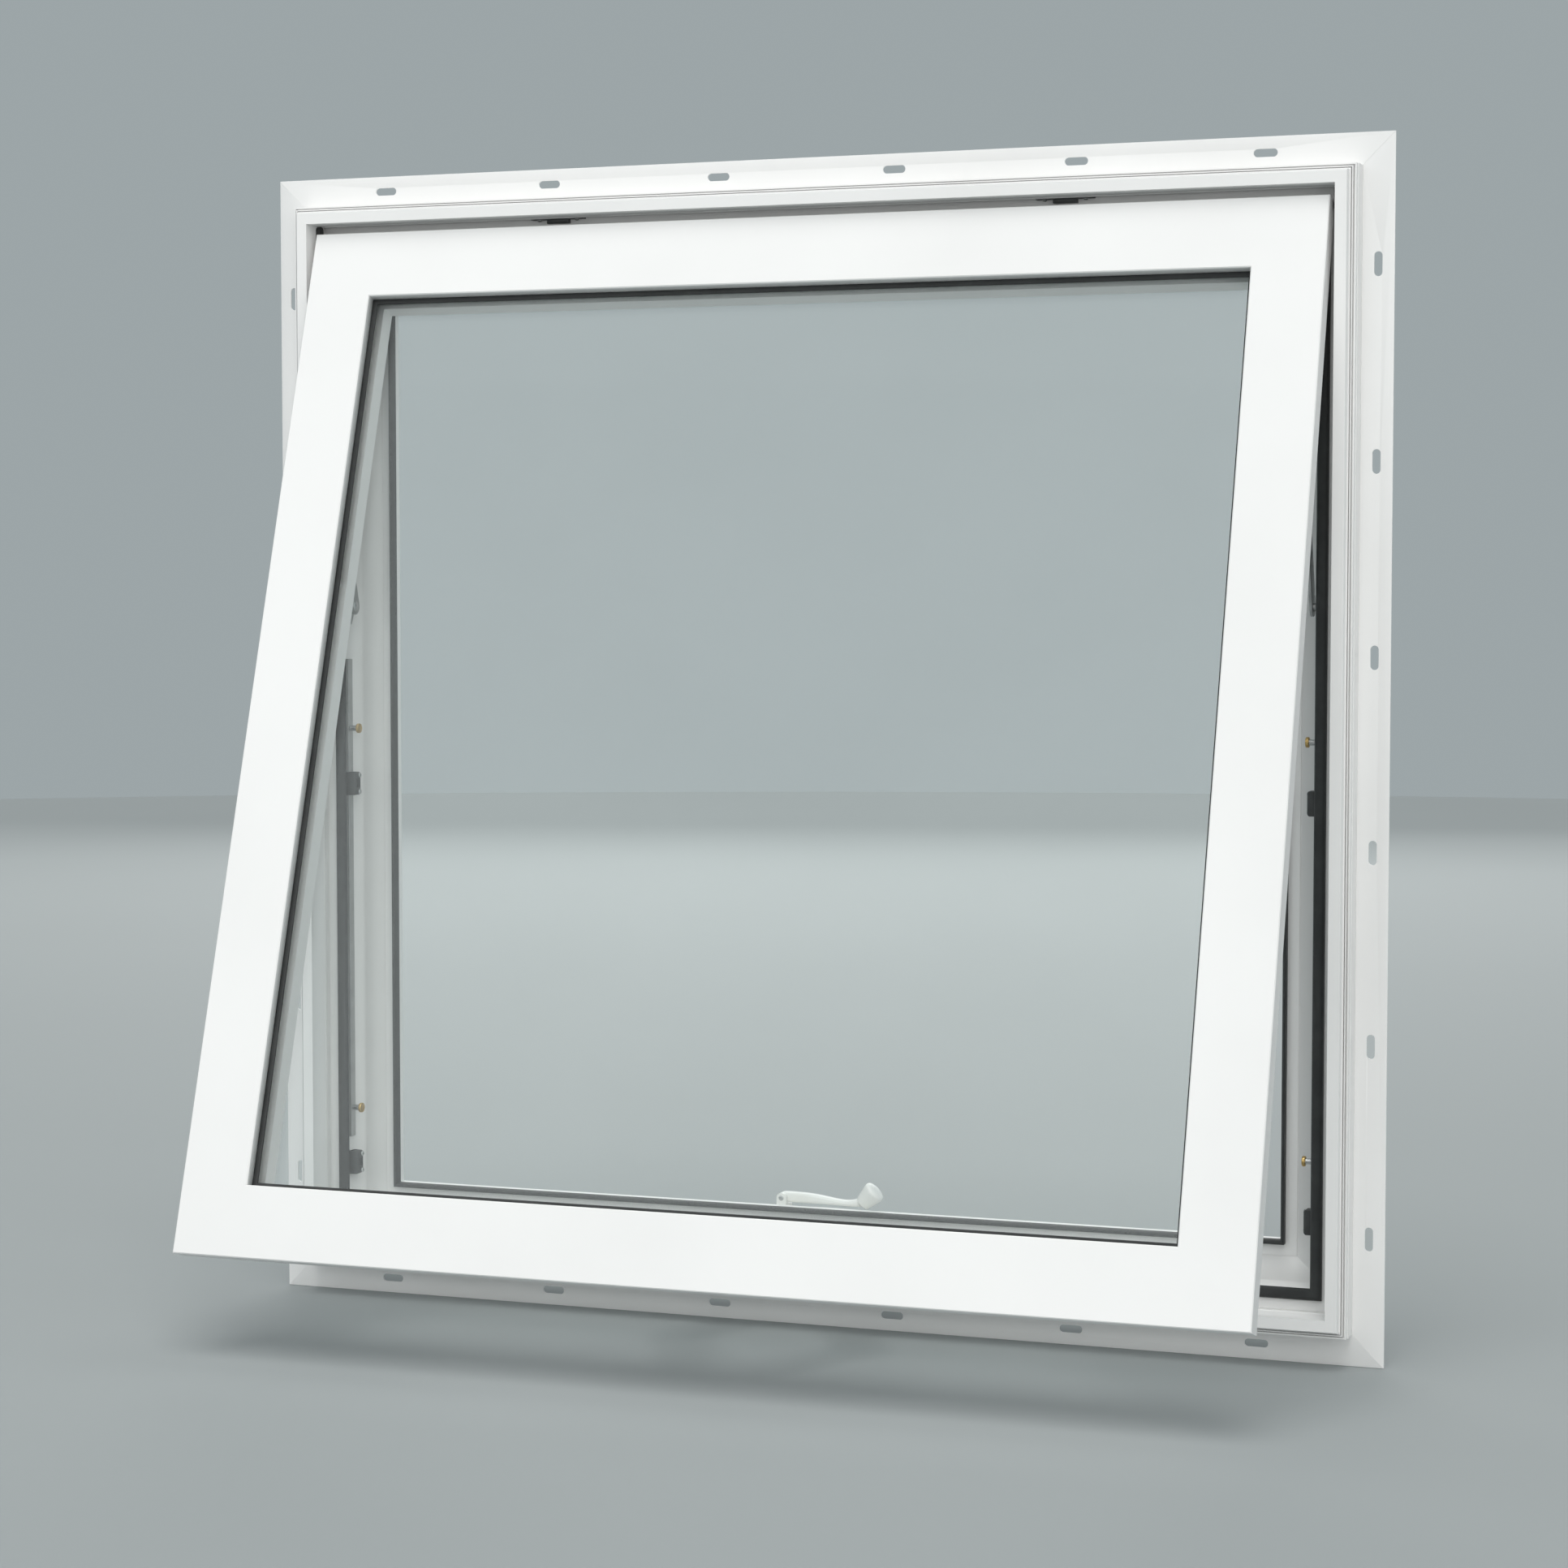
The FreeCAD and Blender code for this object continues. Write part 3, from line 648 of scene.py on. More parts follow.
@dataclass(frozen=True)
class Easing:
    """Easing of a CAD node's outer edges: its width in millimetres and what counts as an edge."""

    width: float
    steps: int = 2
    tiny: bool = False
    keep: Callable[[Edge], bool] = never
    join_gap: float = 2e-6
    flat_turn: float = 0.4
    edge_turn: float = 28.0
    shortest: float = 2.5
    crease: float = 22.0

    def merged(self, node: str) -> Mesh:
        """Copy of a CAD node with its triangles joined and flat areas cleaned.

        Args:
            node: name of the CAD node.

        Returns:
            The joined mesh.
        """
        bm = bmesh.new()
        bm.from_mesh(frame["nodes"][node].data)
        bmesh.ops.remove_doubles(bm, verts=bm.verts[:], dist=self.join_gap)
        flat = math.radians(self.flat_turn)
        bmesh.ops.dissolve_limit(bm, angle_limit=flat, verts=bm.verts[:], edges=bm.edges[:])
        return bm

    def eased(self, edge: Edge) -> bool:
        """True for an outer edge that is sharp, long enough and not kept; tiny takes short ones of rims too."""
        return (
            len(edge.link_faces) == 2
            and edge.is_convex
            and edge.calc_face_angle() > math.radians(self.edge_turn)
            and (self.tiny or edge.calc_length() > self.shortest * self.width * MM)
            and not self.keep(edge)
        )

    def copy(self, node: str, material: Material) -> Piece:
        """Eased copy of a CAD node.

        Args:
            node: name of the CAD node.
            material: finish of the piece.

        Returns:
            The new piece.
        """
        bm = self.merged(node)
        soften(bm, [edge for edge in bm.edges if self.eased(edge)], self.width, self.steps)
        return smooth(mesh_object(node + "_dressed", bm, material), self.crease)

    def stand_in(self, node: str, body: Body, slot: Slot, material: Material) -> None:
        """Put an eased copy in the place of a CAD node.

        Args:
            node: name of the CAD node.
            body: body that it rides on.
            slot: not used; only handed on to fit.
            material: finish of the piece.
        """
        fit(self.copy(node, material), body, slot, node)


@dataclass
class Sizes:
    """Shared sizes of the window in millimetres, and the sash's lean."""

    half: float = 457.2
    centre_z: float = 469.9
    sash_half: float = 436.2
    open_angle: float = 17.35
    pole_y: float = 0.0
    pole_z: float = 0.0
    mitre_slack: float = 0.05

    def read(self) -> None:
        """Take the sash's hinge from the record."""
        swing = next(j for j in frame["record"]["behaviour"]["joints"] if j["name"] == "sash_swing")
        self.pole_y = swing["pos_m"][1] / MM
        self.pole_z = swing["pos_m"][2] / MM
        self.open_angle = swing["range_deg"][1]

    def lean(self) -> Matrix:
        """Turn from the closed sash to its open rest place, in metres."""
        pole = Vector((0.0, self.pole_y, self.pole_z)) * MM
        turn = Matrix.Rotation(-math.radians(self.open_angle), 4, "X")
        return Matrix.Translation(pole) @ turn @ Matrix.Translation(-pole)

    def on_mitre(self, leaning: bool) -> Callable[[Edge], bool]:
        """Test for edges in the mitre planes of the frame or the sash.

        Args:
            leaning: True for the open sash.

        Returns:
            The test.
        """
        back = self.lean().inverted() if leaning else Matrix.Identity(4)

        def test(edge: Edge) -> bool:
            """True if both ends of the edge lie in a mitre plane."""
            for vert in edge.verts:
                place = back @ vert.co / MM
                if abs(abs(place.x) - abs(place.z - self.centre_z)) > self.mitre_slack:
                    return False
            return True

        return test


def neighbours(count: int) -> list[tuple[int, int]]:
    """Pairs of each index of a closed loop and the next.

    Args:
        count: points of the loop.

    Returns:
        The pairs in order.
    """
    return [(i, (i + 1) % count) for i in range(count)]


@dataclass(frozen=True)
class SquareRing:
    """Section swept round a square with mitred corners; (inset, y) points in millimetres."""

    name: str
    section: tuple[Point2, ...]
    crease: float = 40.0

    def build(self, half: float, centre_z: float, material: Material, turn: Matrix | None = None) -> Piece:
        """Sweep the section.

        Args:
            half: half the square's width in millimetres.
            centre_z: height of the square's middle in millimetres.
            material: finish of the piece.
            turn: turn that leans the whole ring.

        Returns:
            The new piece.
        """
        bm = bmesh.new()
        loops = []
        for sx, sz in ((-1, -1), (1, -1), (1, 1), (-1, 1)):
            ring = []
            for inset, y in self.section:
                place = Vector((sx * (half - inset), y, centre_z + sz * (half - inset))) * MM
                ring.append(bm.verts.new(turn @ place if turn else place))
            loops.append(ring)
        for here, there in zip(loops, loops[1:] + loops[:1]):
            for i, j in neighbours(len(self.section)):
                bm.faces.new((here[i], here[j], there[j], there[i]))
        bmesh.ops.recalc_face_normals(bm, faces=bm.faces[:])
        return smooth(mesh_object(self.name, bm, material), self.crease)


@dataclass
class OuterFrame:
    """Frame members, nail fins and the ribbed strip in the outer groove."""

    sizes: Sizes
    finishes: Finishes
    easing: float = 0.3
    fin_easing: float = 0.18
    strip: tuple[Point2, ...] = (
        (4.55, -20.6), (4.55, -23.6), (3.75, -23.6), (3.75, -26.3),
        (2.95, -26.3), (2.95, -22.6), (1.85, -22.6), (1.85, -20.6),
    )

    def dress(self) -> None:
        """Ease the members, run their die lines, and lay the strip."""
        across, upright = self.finishes["frame_across"], self.finishes["frame_upright"]
        member = Easing(self.easing, keep=self.sizes.on_mitre(leaning=False))
        for node in ("frame_head", "frame_sill", "frame_jamb_left", "frame_jamb_right"):
            member.stand_in(node, Body.FRAME, Slot.FRAME_VINYL, upright if "jamb" in node else across)
        fin = Easing(self.fin_easing)
        for side in ("head", "sill", *SIDES):
            fin.stand_in("nail_fin_" + side, Body.FRAME, Slot.FRAME_VINYL, upright if side in SIDES else across)
        strip = SquareRing("groove_strip", self.strip)
        fit(strip.build(self.sizes.half, self.sizes.centre_z, across), Body.FRAME, Slot.FRAME_VINYL)


@dataclass
class Seals:
    """Bulb seal and fin seal of the frame, wedge seal of the glass."""

    sizes: Sizes
    finishes: Finishes
    bulb: tuple[Point2, ...] = (
        (24.4, 0.5), (24.5, -1.3), (25.0, -2.8), (26.0, -3.9), (27.4, -4.45), (29.2, -4.5), (30.9, -4.3),
        (32.1, -3.7), (32.9, -2.7), (33.5, -1.4), (33.9, -0.2), (33.2, 0.2), (31.0, 0.5),
    )
    fin: tuple[Point2, ...] = (
        (61.2, 37.4), (61.2, 30.9), (61.5, 30.2), (62.1, 29.9), (62.7, 30.1), (63.6, 31.4), (64.3, 32.8),
        (64.7, 34.6), (64.9, 36.2), (64.95, 37.4),
    )
    wedge: tuple[Point2, ...] = (
        (50.0, -20.6), (58.2, -20.6), (59.6, -20.4), (60.7, -19.9), (61.2, -19.4), (61.45, -19.0),
        (61.45, -18.6), (50.0, -18.6),
    )

    def dress(self) -> None:
        """Sweep the three seals round the window."""
        black = self.finishes["seal"]
        s = self.sizes
        for name, section in (("bulb_seal", self.bulb), ("stop_seal", self.fin)):
            ring = SquareRing(name + "_round", section)
            fit(ring.build(s.half, s.centre_z, black), Body.FRAME, Slot.SEAL, name)
        wedge = SquareRing("glazing_seal_round", self.wedge)
        fit(wedge.build(s.sash_half, s.centre_z, black, s.lean()), Body.SASH, Slot.SEAL, "glazing_seal")


@dataclass
class Sash:
    """Sash members, beads and the sealed unit."""

    sizes: Sizes
    finishes: Finishes
    easing: float = 0.3
    bead_easing: float = 0.6

    def dress(self) -> None:
        """Ease the members and beads and finish the glass."""
        across, upright = self.finishes["sash_across"], self.finishes["sash_upright"]
        keep = self.sizes.on_mitre(leaning=True)
        member, bead = Easing(self.easing, keep=keep), Easing(self.bead_easing, keep=keep)
        for node in ("sash_top_rail", "sash_bottom_rail", "sash_stile_left", "sash_stile_right"):
            member.stand_in(node, Body.SASH, Slot.SASH_VINYL, upright if "stile" in node else across)
        for side in ("head", "sill", *SIDES):
            bead.stand_in("glazing_bead_" + side, Body.SASH, Slot.SASH_VINYL, upright if side in SIDES else across)
        for node, key in (("glass_outer", "glass"), ("glass_inner", "glass"), ("glass_spacer", "spacer")):
            paint(node, self.finishes[key])


@dataclass
class Stays:
    """Friction stays on both jambs."""

    finishes: Finishes
    easing: float = 0.25

    def dress(self) -> None:
        """Ease and brush the tracks, arms and shoes."""
        edge = Easing(self.easing)
        upright, leaning = self.finishes["steel_upright"], self.finishes["steel_leaning"]
        for side in SIDES:
            edge.stand_in("stay_track_" + side, Body.FRAME, Slot.STEEL, upright)
            edge.stand_in("stay_arm_" + side, Body.STAY_ARMS, Slot.STEEL, leaning)
            edge.stand_in("sash_arm_" + side, Body.SASH, Slot.STEEL, leaning)
        edge.stand_in("stay_shoes", Body.STAY_SHOES, Slot.STEEL, self.finishes["steel_bright"])


@dataclass
class Locks:
    """Lock bars with their pins, the dark blocks, the keepers and the head snubbers."""

    finishes: Finishes
    easing: float = 0.3
    block_easing: float = 0.6
    rim: float = 0.7
    rim_steps: int = 3
    head_length: float = 2.82

    def pins(self, side: str) -> Piece:
        """Pins with a bright stem and a brass head with a rounded rim.

        Args:
            side: left or right.

        Returns:
            The pins of one jamb.
        """
        node = "lock_pins_" + side
        low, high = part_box(node)
        neck = min(abs(low[0]), abs(high[0])) + self.head_length * MM
        piece = Easing(self.rim, self.rim_steps, tiny=True).copy(node, self.finishes["steel_bright"])
        piece.data.materials.append(self.finishes["brass"])
        for face in piece.data.polygons:
            face.material_index = 0 if abs(face.center.x) > neck else 1
        return piece

    def dress(self) -> None:
        """Finish the bars, pins, blocks, snubbers and keepers."""
        edge = Easing(self.easing)
        for side, body in zip(SIDES, (Body.LOCK_LEFT, Body.LOCK_RIGHT)):
            edge.stand_in("lock_bar_" + side, body, Slot.STEEL, self.finishes["steel_upright"])
            fit(self.pins(side), body, Slot.BRASS, "lock_pins_" + side)
        block = Easing(self.block_easing)
        block.stand_in("alignment_blocks", Body.FRAME, Slot.NYLON, self.finishes["nylon"])
        edge.stand_in("head_snubbers", Body.FRAME, Slot.NYLON, self.finishes["snubber"])
        edge.stand_in("lock_keepers", Body.SASH, Slot.STEEL, self.finishes["steel_leaning"])


@dataclass
class PaintedShadeBumpers:
    """Small black pieces on the jambs under the head, beside the sash; their black is painted shade, standing in for
    the shaded upright face seen at that spot.
    """

    finishes: Finishes
    wall: float = 441.4
    proud: float = 4.0
    front: float = -15.2
    width: float = 7.2
    low: float = 893.0
    top: float = 910.9
    rounding: float = 0.9
    rounding_steps: int = 3
    arch_steps: int = 16
    crease: float = 50.0

    def outline(self) -> list[Point2]:
        """Upright outline with a round top, as (y, z) points."""
        r = self.width / 2
        middle = self.front + r
        angles = [math.pi * k / self.arch_steps for k in range(self.arch_steps + 1)]
        arch = [(middle + r * math.cos(a), self.top - r + r * math.sin(a)) for a in angles]
        return [(middle + r, self.low)] + arch + [(middle - r, self.low)]

    def dress(self) -> None:
        """Build both painted shade pieces as one piece."""
        outline = self.outline()
        bm = bmesh.new()
        for side in (-1.0, 1.0):
            back = [bm.verts.new(Vector((side * self.wall, y, z)) * MM) for y, z in outline]
            face = [bm.verts.new(Vector((side * (self.wall - self.proud), y, z)) * MM) for y, z in outline]
            bm.faces.new(back)
            bm.faces.new(face[::-1])
            for i, j in neighbours(len(outline)):
                bm.faces.new((back[j], back[i], face[i], face[j]))
        bmesh.ops.recalc_face_normals(bm, faces=bm.faces[:])
        inner = (self.wall - self.proud) * MM
        rims = [e for e in bm.edges if all(abs(abs(v.co.x) - inner) < SAME for v in e.verts)]
        soften(bm, rims, self.rounding, self.rounding_steps)
        # The black seal finish here is painted shade: it stands for the shaded upright face at this spot.
        piece = mesh_object("painted_shade_bumpers", bm, self.finishes["seal"])
        fit(smooth(piece, self.crease), Body.FRAME, Slot.SEAL)


@dataclass
class Operator:
    """Scissor operator between the sill and the bottom rail."""

    finishes: Finishes
    easing: float = 0.2

    def dress(self) -> None:
        """Ease and brush the base, yoke, arms, links and bracket."""
        edge = Easing(self.easing)
        pieces = {
            "operator_base": Body.FRAME,
            "operator_yoke": Body.YOKE,
            "operator_arm_left": Body.ARM_LEFT,
            "operator_arm_right": Body.ARM_RIGHT,
            "operator_link_left": Body.LINK_LEFT,
            "operator_link_right": Body.LINK_RIGHT,
            "operator_bracket": Body.SASH,
        }
        for node, body in pieces.items():
            edge.stand_in(node, body, Slot.STEEL, self.finishes["steel_arm"])


def smooth_line(points: Sequence[Point2], steps: int) -> list[Point2]:
    """Smooth line through given points.

    Args:
        points: places that the line passes.
        steps: pieces between two places.

    Returns:
        The points of the line.
    """
    line = []
    last = len(points) - 1
    for i in range(last):
        a = Vector(points[max(i - 1, 0)])
        b = Vector(points[i])
        c = Vector(points[i + 1])
        d = Vector(points[min(i + 2, last)])
        for k in range(steps):
            t = k / steps
            square = (a * 2 - b * 5 + c * 4 - d) * t * t
            place = b * 2 + (c - a) * t + square + (b * 3 - a - c * 3 + d) * t**3
            line.append(tuple(place / 2))
    line.append(tuple(points[-1]))
    return line


@dataclass
class Crank:
    """Interior cover, boss and folding crank handle."""

    finishes: Finishes
    easing: float = 0.3
    hinge: Point3 = (-41.0, 62.55, 81.65)
    half_height: float = 4.25
    width: float = 10.0
    reach: float = 71.2
    line_steps: int = 4
    eye_steps: int = 12
    rounding: float = 2.2
    rounding_steps: int = 4
    arm_crease: float = 38.0
    knob_tilt: float = 44.0
    knob_back: float = 1.5
    knob_drop: float = 0.55
    knob_steps: int = 40
    knob_crease: float = 50.0
    upper: tuple[Point2, ...] = (
        (0.0, 1.0), (0.12, 1.0), (0.24, 0.95), (0.36, 0.82), (0.49, 0.55), (0.62, 0.22), (0.72, 0.03),
        (0.8, 0.02), (0.87, 0.2), (0.93, 0.5), (0.965, 0.72),
    )
    lower: tuple[Point2, ...] = (
        (0.965, -1.1), (0.85, -1.12), (0.7, -1.08), (0.45, -1.0), (0.2, -1.0), (0.0, -1.0),
    )
    knob_profile: tuple[Point2, ...] = (
        (0.0, 0.0), (5.6, 0.0), (6.5, 0.5), (7.0, 2.4), (7.8, 5.6), (8.6, 9.0), (9.3, 12.0), (9.7, 14.2),
        (9.7, 15.4), (9.2, 16.6), (8.0, 17.5), (5.8, 18.0), (3.0, 18.2), (0.0, 18.25),
    )

    def outline(self) -> list[Point2]:
        """Side outline of the arm from its hinge, as (x, z) points with the round eye last."""
        r = self.half_height
        line = smooth_line(self.upper, self.line_steps) + smooth_line(self.lower, self.line_steps)
        angles = [math.pi * k / self.eye_steps for k in range(1, self.eye_steps)]
        return [(u * self.reach, v * r) for u, v in line] + [(-r * math.sin(a), -r * math.cos(a)) for a in angles]

    def arm(self) -> Piece:
        """Arm of the handle with a rounded eye and soft edges."""
        bm = bmesh.new()
        hx, hy, hz = self.hinge
        y = hy - self.width / 2
        face = bm.faces.new([bm.verts.new(Vector((hx + x, y, hz + z)) * MM) for x, z in self.outline()])
        bm.normal_update()
        solid = bmesh.ops.extrude_face_region(bm, geom=[face])
        moved = [part for part in solid["geom"] if isinstance(part, bmesh.types.BMVert)]
        bmesh.ops.translate(bm, verts=moved, vec=Vector((0.0, self.width * MM, 0.0)))
        bmesh.ops.recalc_face_normals(bm, faces=bm.faces[:])
        rims = [e for e in bm.edges if abs(e.verts[0].co.y - e.verts[1].co.y) < SAME]
        soften(bm, rims, self.rounding, self.rounding_steps)
        return smooth(mesh_object("crank_handle_arm", bm, self.finishes["enamel"]), self.arm_crease)

    def knob(self) -> Piece:
        """Flared knob turned about its tilted axis."""
        bm = bmesh.new()
        rings = []
        for radius, height in self.knob_profile:
            count = self.knob_steps if radius else 1
            turns = [math.tau * k / count for k in range(count)]
            rings.append([bm.verts.new((radius * math.cos(a), radius * math.sin(a), height)) for a in turns])
        for low, high in zip(rings, rings[1:]):
            for k, n in neighbours(self.knob_steps):
                loop = [low[k % len(low)], low[n % len(low)], high[n % len(high)], high[k % len(high)]]
                bm.faces.new(list(dict.fromkeys(loop)))
        hx, hy, hz = self.hinge
        foot = Vector((hx + self.reach - self.knob_back, hy, hz - self.knob_drop * self.half_height)) * MM
        tilt = Matrix.Rotation(math.radians(90 - self.knob_tilt), 4, "Y")
        place = Matrix.Translation(foot) @ tilt @ Matrix.Scale(MM, 4)
        bmesh.ops.transform(bm, matrix=place, verts=bm.verts[:])
        bmesh.ops.recalc_face_normals(bm, faces=bm.faces[:])
        return smooth(mesh_object("crank_handle_knob", bm, self.finishes["enamel"]), self.knob_crease)

    def dress(self) -> None:
        """Finish the cover and boss and put the handle on."""
        for node in ("operator_cover", "crank_boss"):
            Easing(self.easing).stand_in(node, Body.FRAME, Slot.ENAMEL, self.finishes["enamel"])
        fit(self.arm(), Body.HANDLE, Slot.ENAMEL, "crank_handle")
        fit(self.knob(), Body.HANDLE, Slot.ENAMEL)


class HeadTree(Wiring):
    """Geometry Nodes tree that sets a domed head, with or without a cross recess, on every point."""

    SEGMENTS = 24
    RINGS = 12
    BLADE_LENGTH = 1.1

    def __init__(self, recess: Recess) -> None:
        """Build the tree.

        Args:
            recess: drive of the head.
        """
        name = "cross_head_on_points" if recess.value else "rivet_head_on_points"
        super().__init__(bpy.data.node_groups.new(name, "GeometryNodeTree"))
        self.inputs = {"Points": self.socket("Points", "NodeSocketGeometry")}
        for label in ("Head Radius", "Head Height", "Recess Width", "Recess Depth"):
            self.inputs[label] = self.socket(label, "NodeSocketFloat")
        self.inputs["Spin Seed"] = self.socket("Spin Seed", "NodeSocketInt")
        self.inputs["Finish"] = self.socket("Finish", "NodeSocketMaterial")
        self.tree.interface.new_socket("Heads", in_out="OUTPUT", socket_type="NodeSocketGeometry")
        self.entry = self.node("NodeGroupInput").outputs
        self.leave = self.node("NodeGroupOutput")
        head = self.dome()
        if recess.value:
            head = self.cut(head)
        self.spread(head)

    def socket(self, label: str, kind: str) -> bpy.types.NodeTreeInterfaceSocket:
        """Add one named input.

        Args:
            label: name of the input.
            kind: socket type.

        Returns:
            The interface socket.
        """
        return self.tree.interface.new_socket(label, in_out="INPUT", socket_type=kind)

    def vector(self, x: Socket | float, y: Socket | float, z: Socket | float) -> Socket:
        """Vector from three parts."""
        return self.node("ShaderNodeCombineXYZ", X=x, Y=y, Z=z).outputs["Vector"]

    def dome(self) -> Socket:
        """Flat bottomed dome of the head's radius and height."""
        ball = self.node("GeometryNodeMeshUVSphere", Segments=self.SEGMENTS, Rings=self.RINGS, Radius=1.0)
        place = self.node("GeometryNodeInputPosition")
        parts = self.node("ShaderNodeSeparateXYZ", Vector=place.outputs["Position"]).outputs
        level = self.vector(parts["X"], parts["Y"], self.math("MAXIMUM", parts["Z"], 0.0))
        cap = self.node("GeometryNodeSetPosition", Geometry=ball.outputs["Mesh"], Position=level)
        radius = self.entry["Head Radius"]
        size = self.vector(radius, radius, self.entry["Head Height"])
        return self.node("GeometryNodeTransform", Geometry=cap.outputs["Geometry"], Scale=size).outputs["Geometry"]

    def cut(self, head: Socket) -> Socket:
        """Cut the cross recess into the head.

        Args:
            head: geometry of the plain head.

        Returns:
            The recessed head.
        """
        width = self.entry["Recess Width"]
        long = self.math("MULTIPLY", self.entry["Head Radius"], self.BLADE_LENGTH)
        deep = self.math("MULTIPLY", self.entry["Recess Depth"], 2.0)
        rise = self.vector(0.0, 0.0, self.entry["Head Height"])
        boolean = self.tree.nodes.new("GeometryNodeMeshBoolean")
        boolean.operation = "DIFFERENCE"
        self.tree.links.new(head, boolean.inputs["Mesh 1"])
        for x, y in ((long, width), (width, long)):
            cube = self.node("GeometryNodeMeshCube", Size=self.vector(x, y, deep))
            blade = self.node("GeometryNodeTransform", Geometry=cube.outputs["Mesh"], Translation=rise)
            self.tree.links.new(blade.outputs["Geometry"], boolean.inputs["Mesh 2"])
        return boolean.outputs["Mesh"]

    def spread(self, head: Socket) -> None:
        """Set the head on every point along the point's own axis and close the tree.

        Args:
            head: geometry of one head.
        """
        axis = self.node("GeometryNodeInputNamedAttribute", Name="axis")
        axis.data_type = "FLOAT_VECTOR"
        facing = self.node("FunctionNodeAlignRotationToVector", Vector=axis.outputs["Attribute"])
        facing.axis = "Z"
        spin = self.node("FunctionNodeRandomValue", Seed=self.entry["Spin Seed"])
        spin.data_type = "FLOAT"
        low, high = [s for s in spin.inputs if s.type == "VALUE" and s.enabled][:2]
        low.default_value = 0.0
        high.default_value = math.tau
        random = next(s for s in spin.outputs if s.type == "VALUE" and s.enabled)
        euler = self.node("FunctionNodeEulerToRotation", Euler=self.vector(0.0, 0.0, random))
        turned = self.tree.nodes.new("FunctionNodeRotateRotation")
        turned.rotation_space = "LOCAL"
        self.tree.links.new(facing.outputs["Rotation"], turned.inputs["Rotation"])
        self.tree.links.new(euler.outputs["Rotation"], turned.inputs["Rotate By"])
        placed = self.node(
            "GeometryNodeInstanceOnPoints",
            Points=self.entry["Points"],
            Instance=head,
            Rotation=turned.outputs["Rotation"],
        )
        real = self.node("GeometryNodeRealizeInstances", Geometry=placed.outputs["Instances"])
        done = self.node("GeometryNodeSetMaterial", Geometry=real.outputs["Geometry"], Material=self.entry["Finish"])
        self.tree.links.new(done.outputs["Geometry"], self.leave.inputs["Heads"])


@dataclass(frozen=True)
class HeadRow:
    """Fastener heads of one kind on one body."""

    name: str
    body: Body
    places: tuple[Place, ...]
    radius: float
    height: float
    recess: Recess = Recess.CROSS
    seed: int = 3


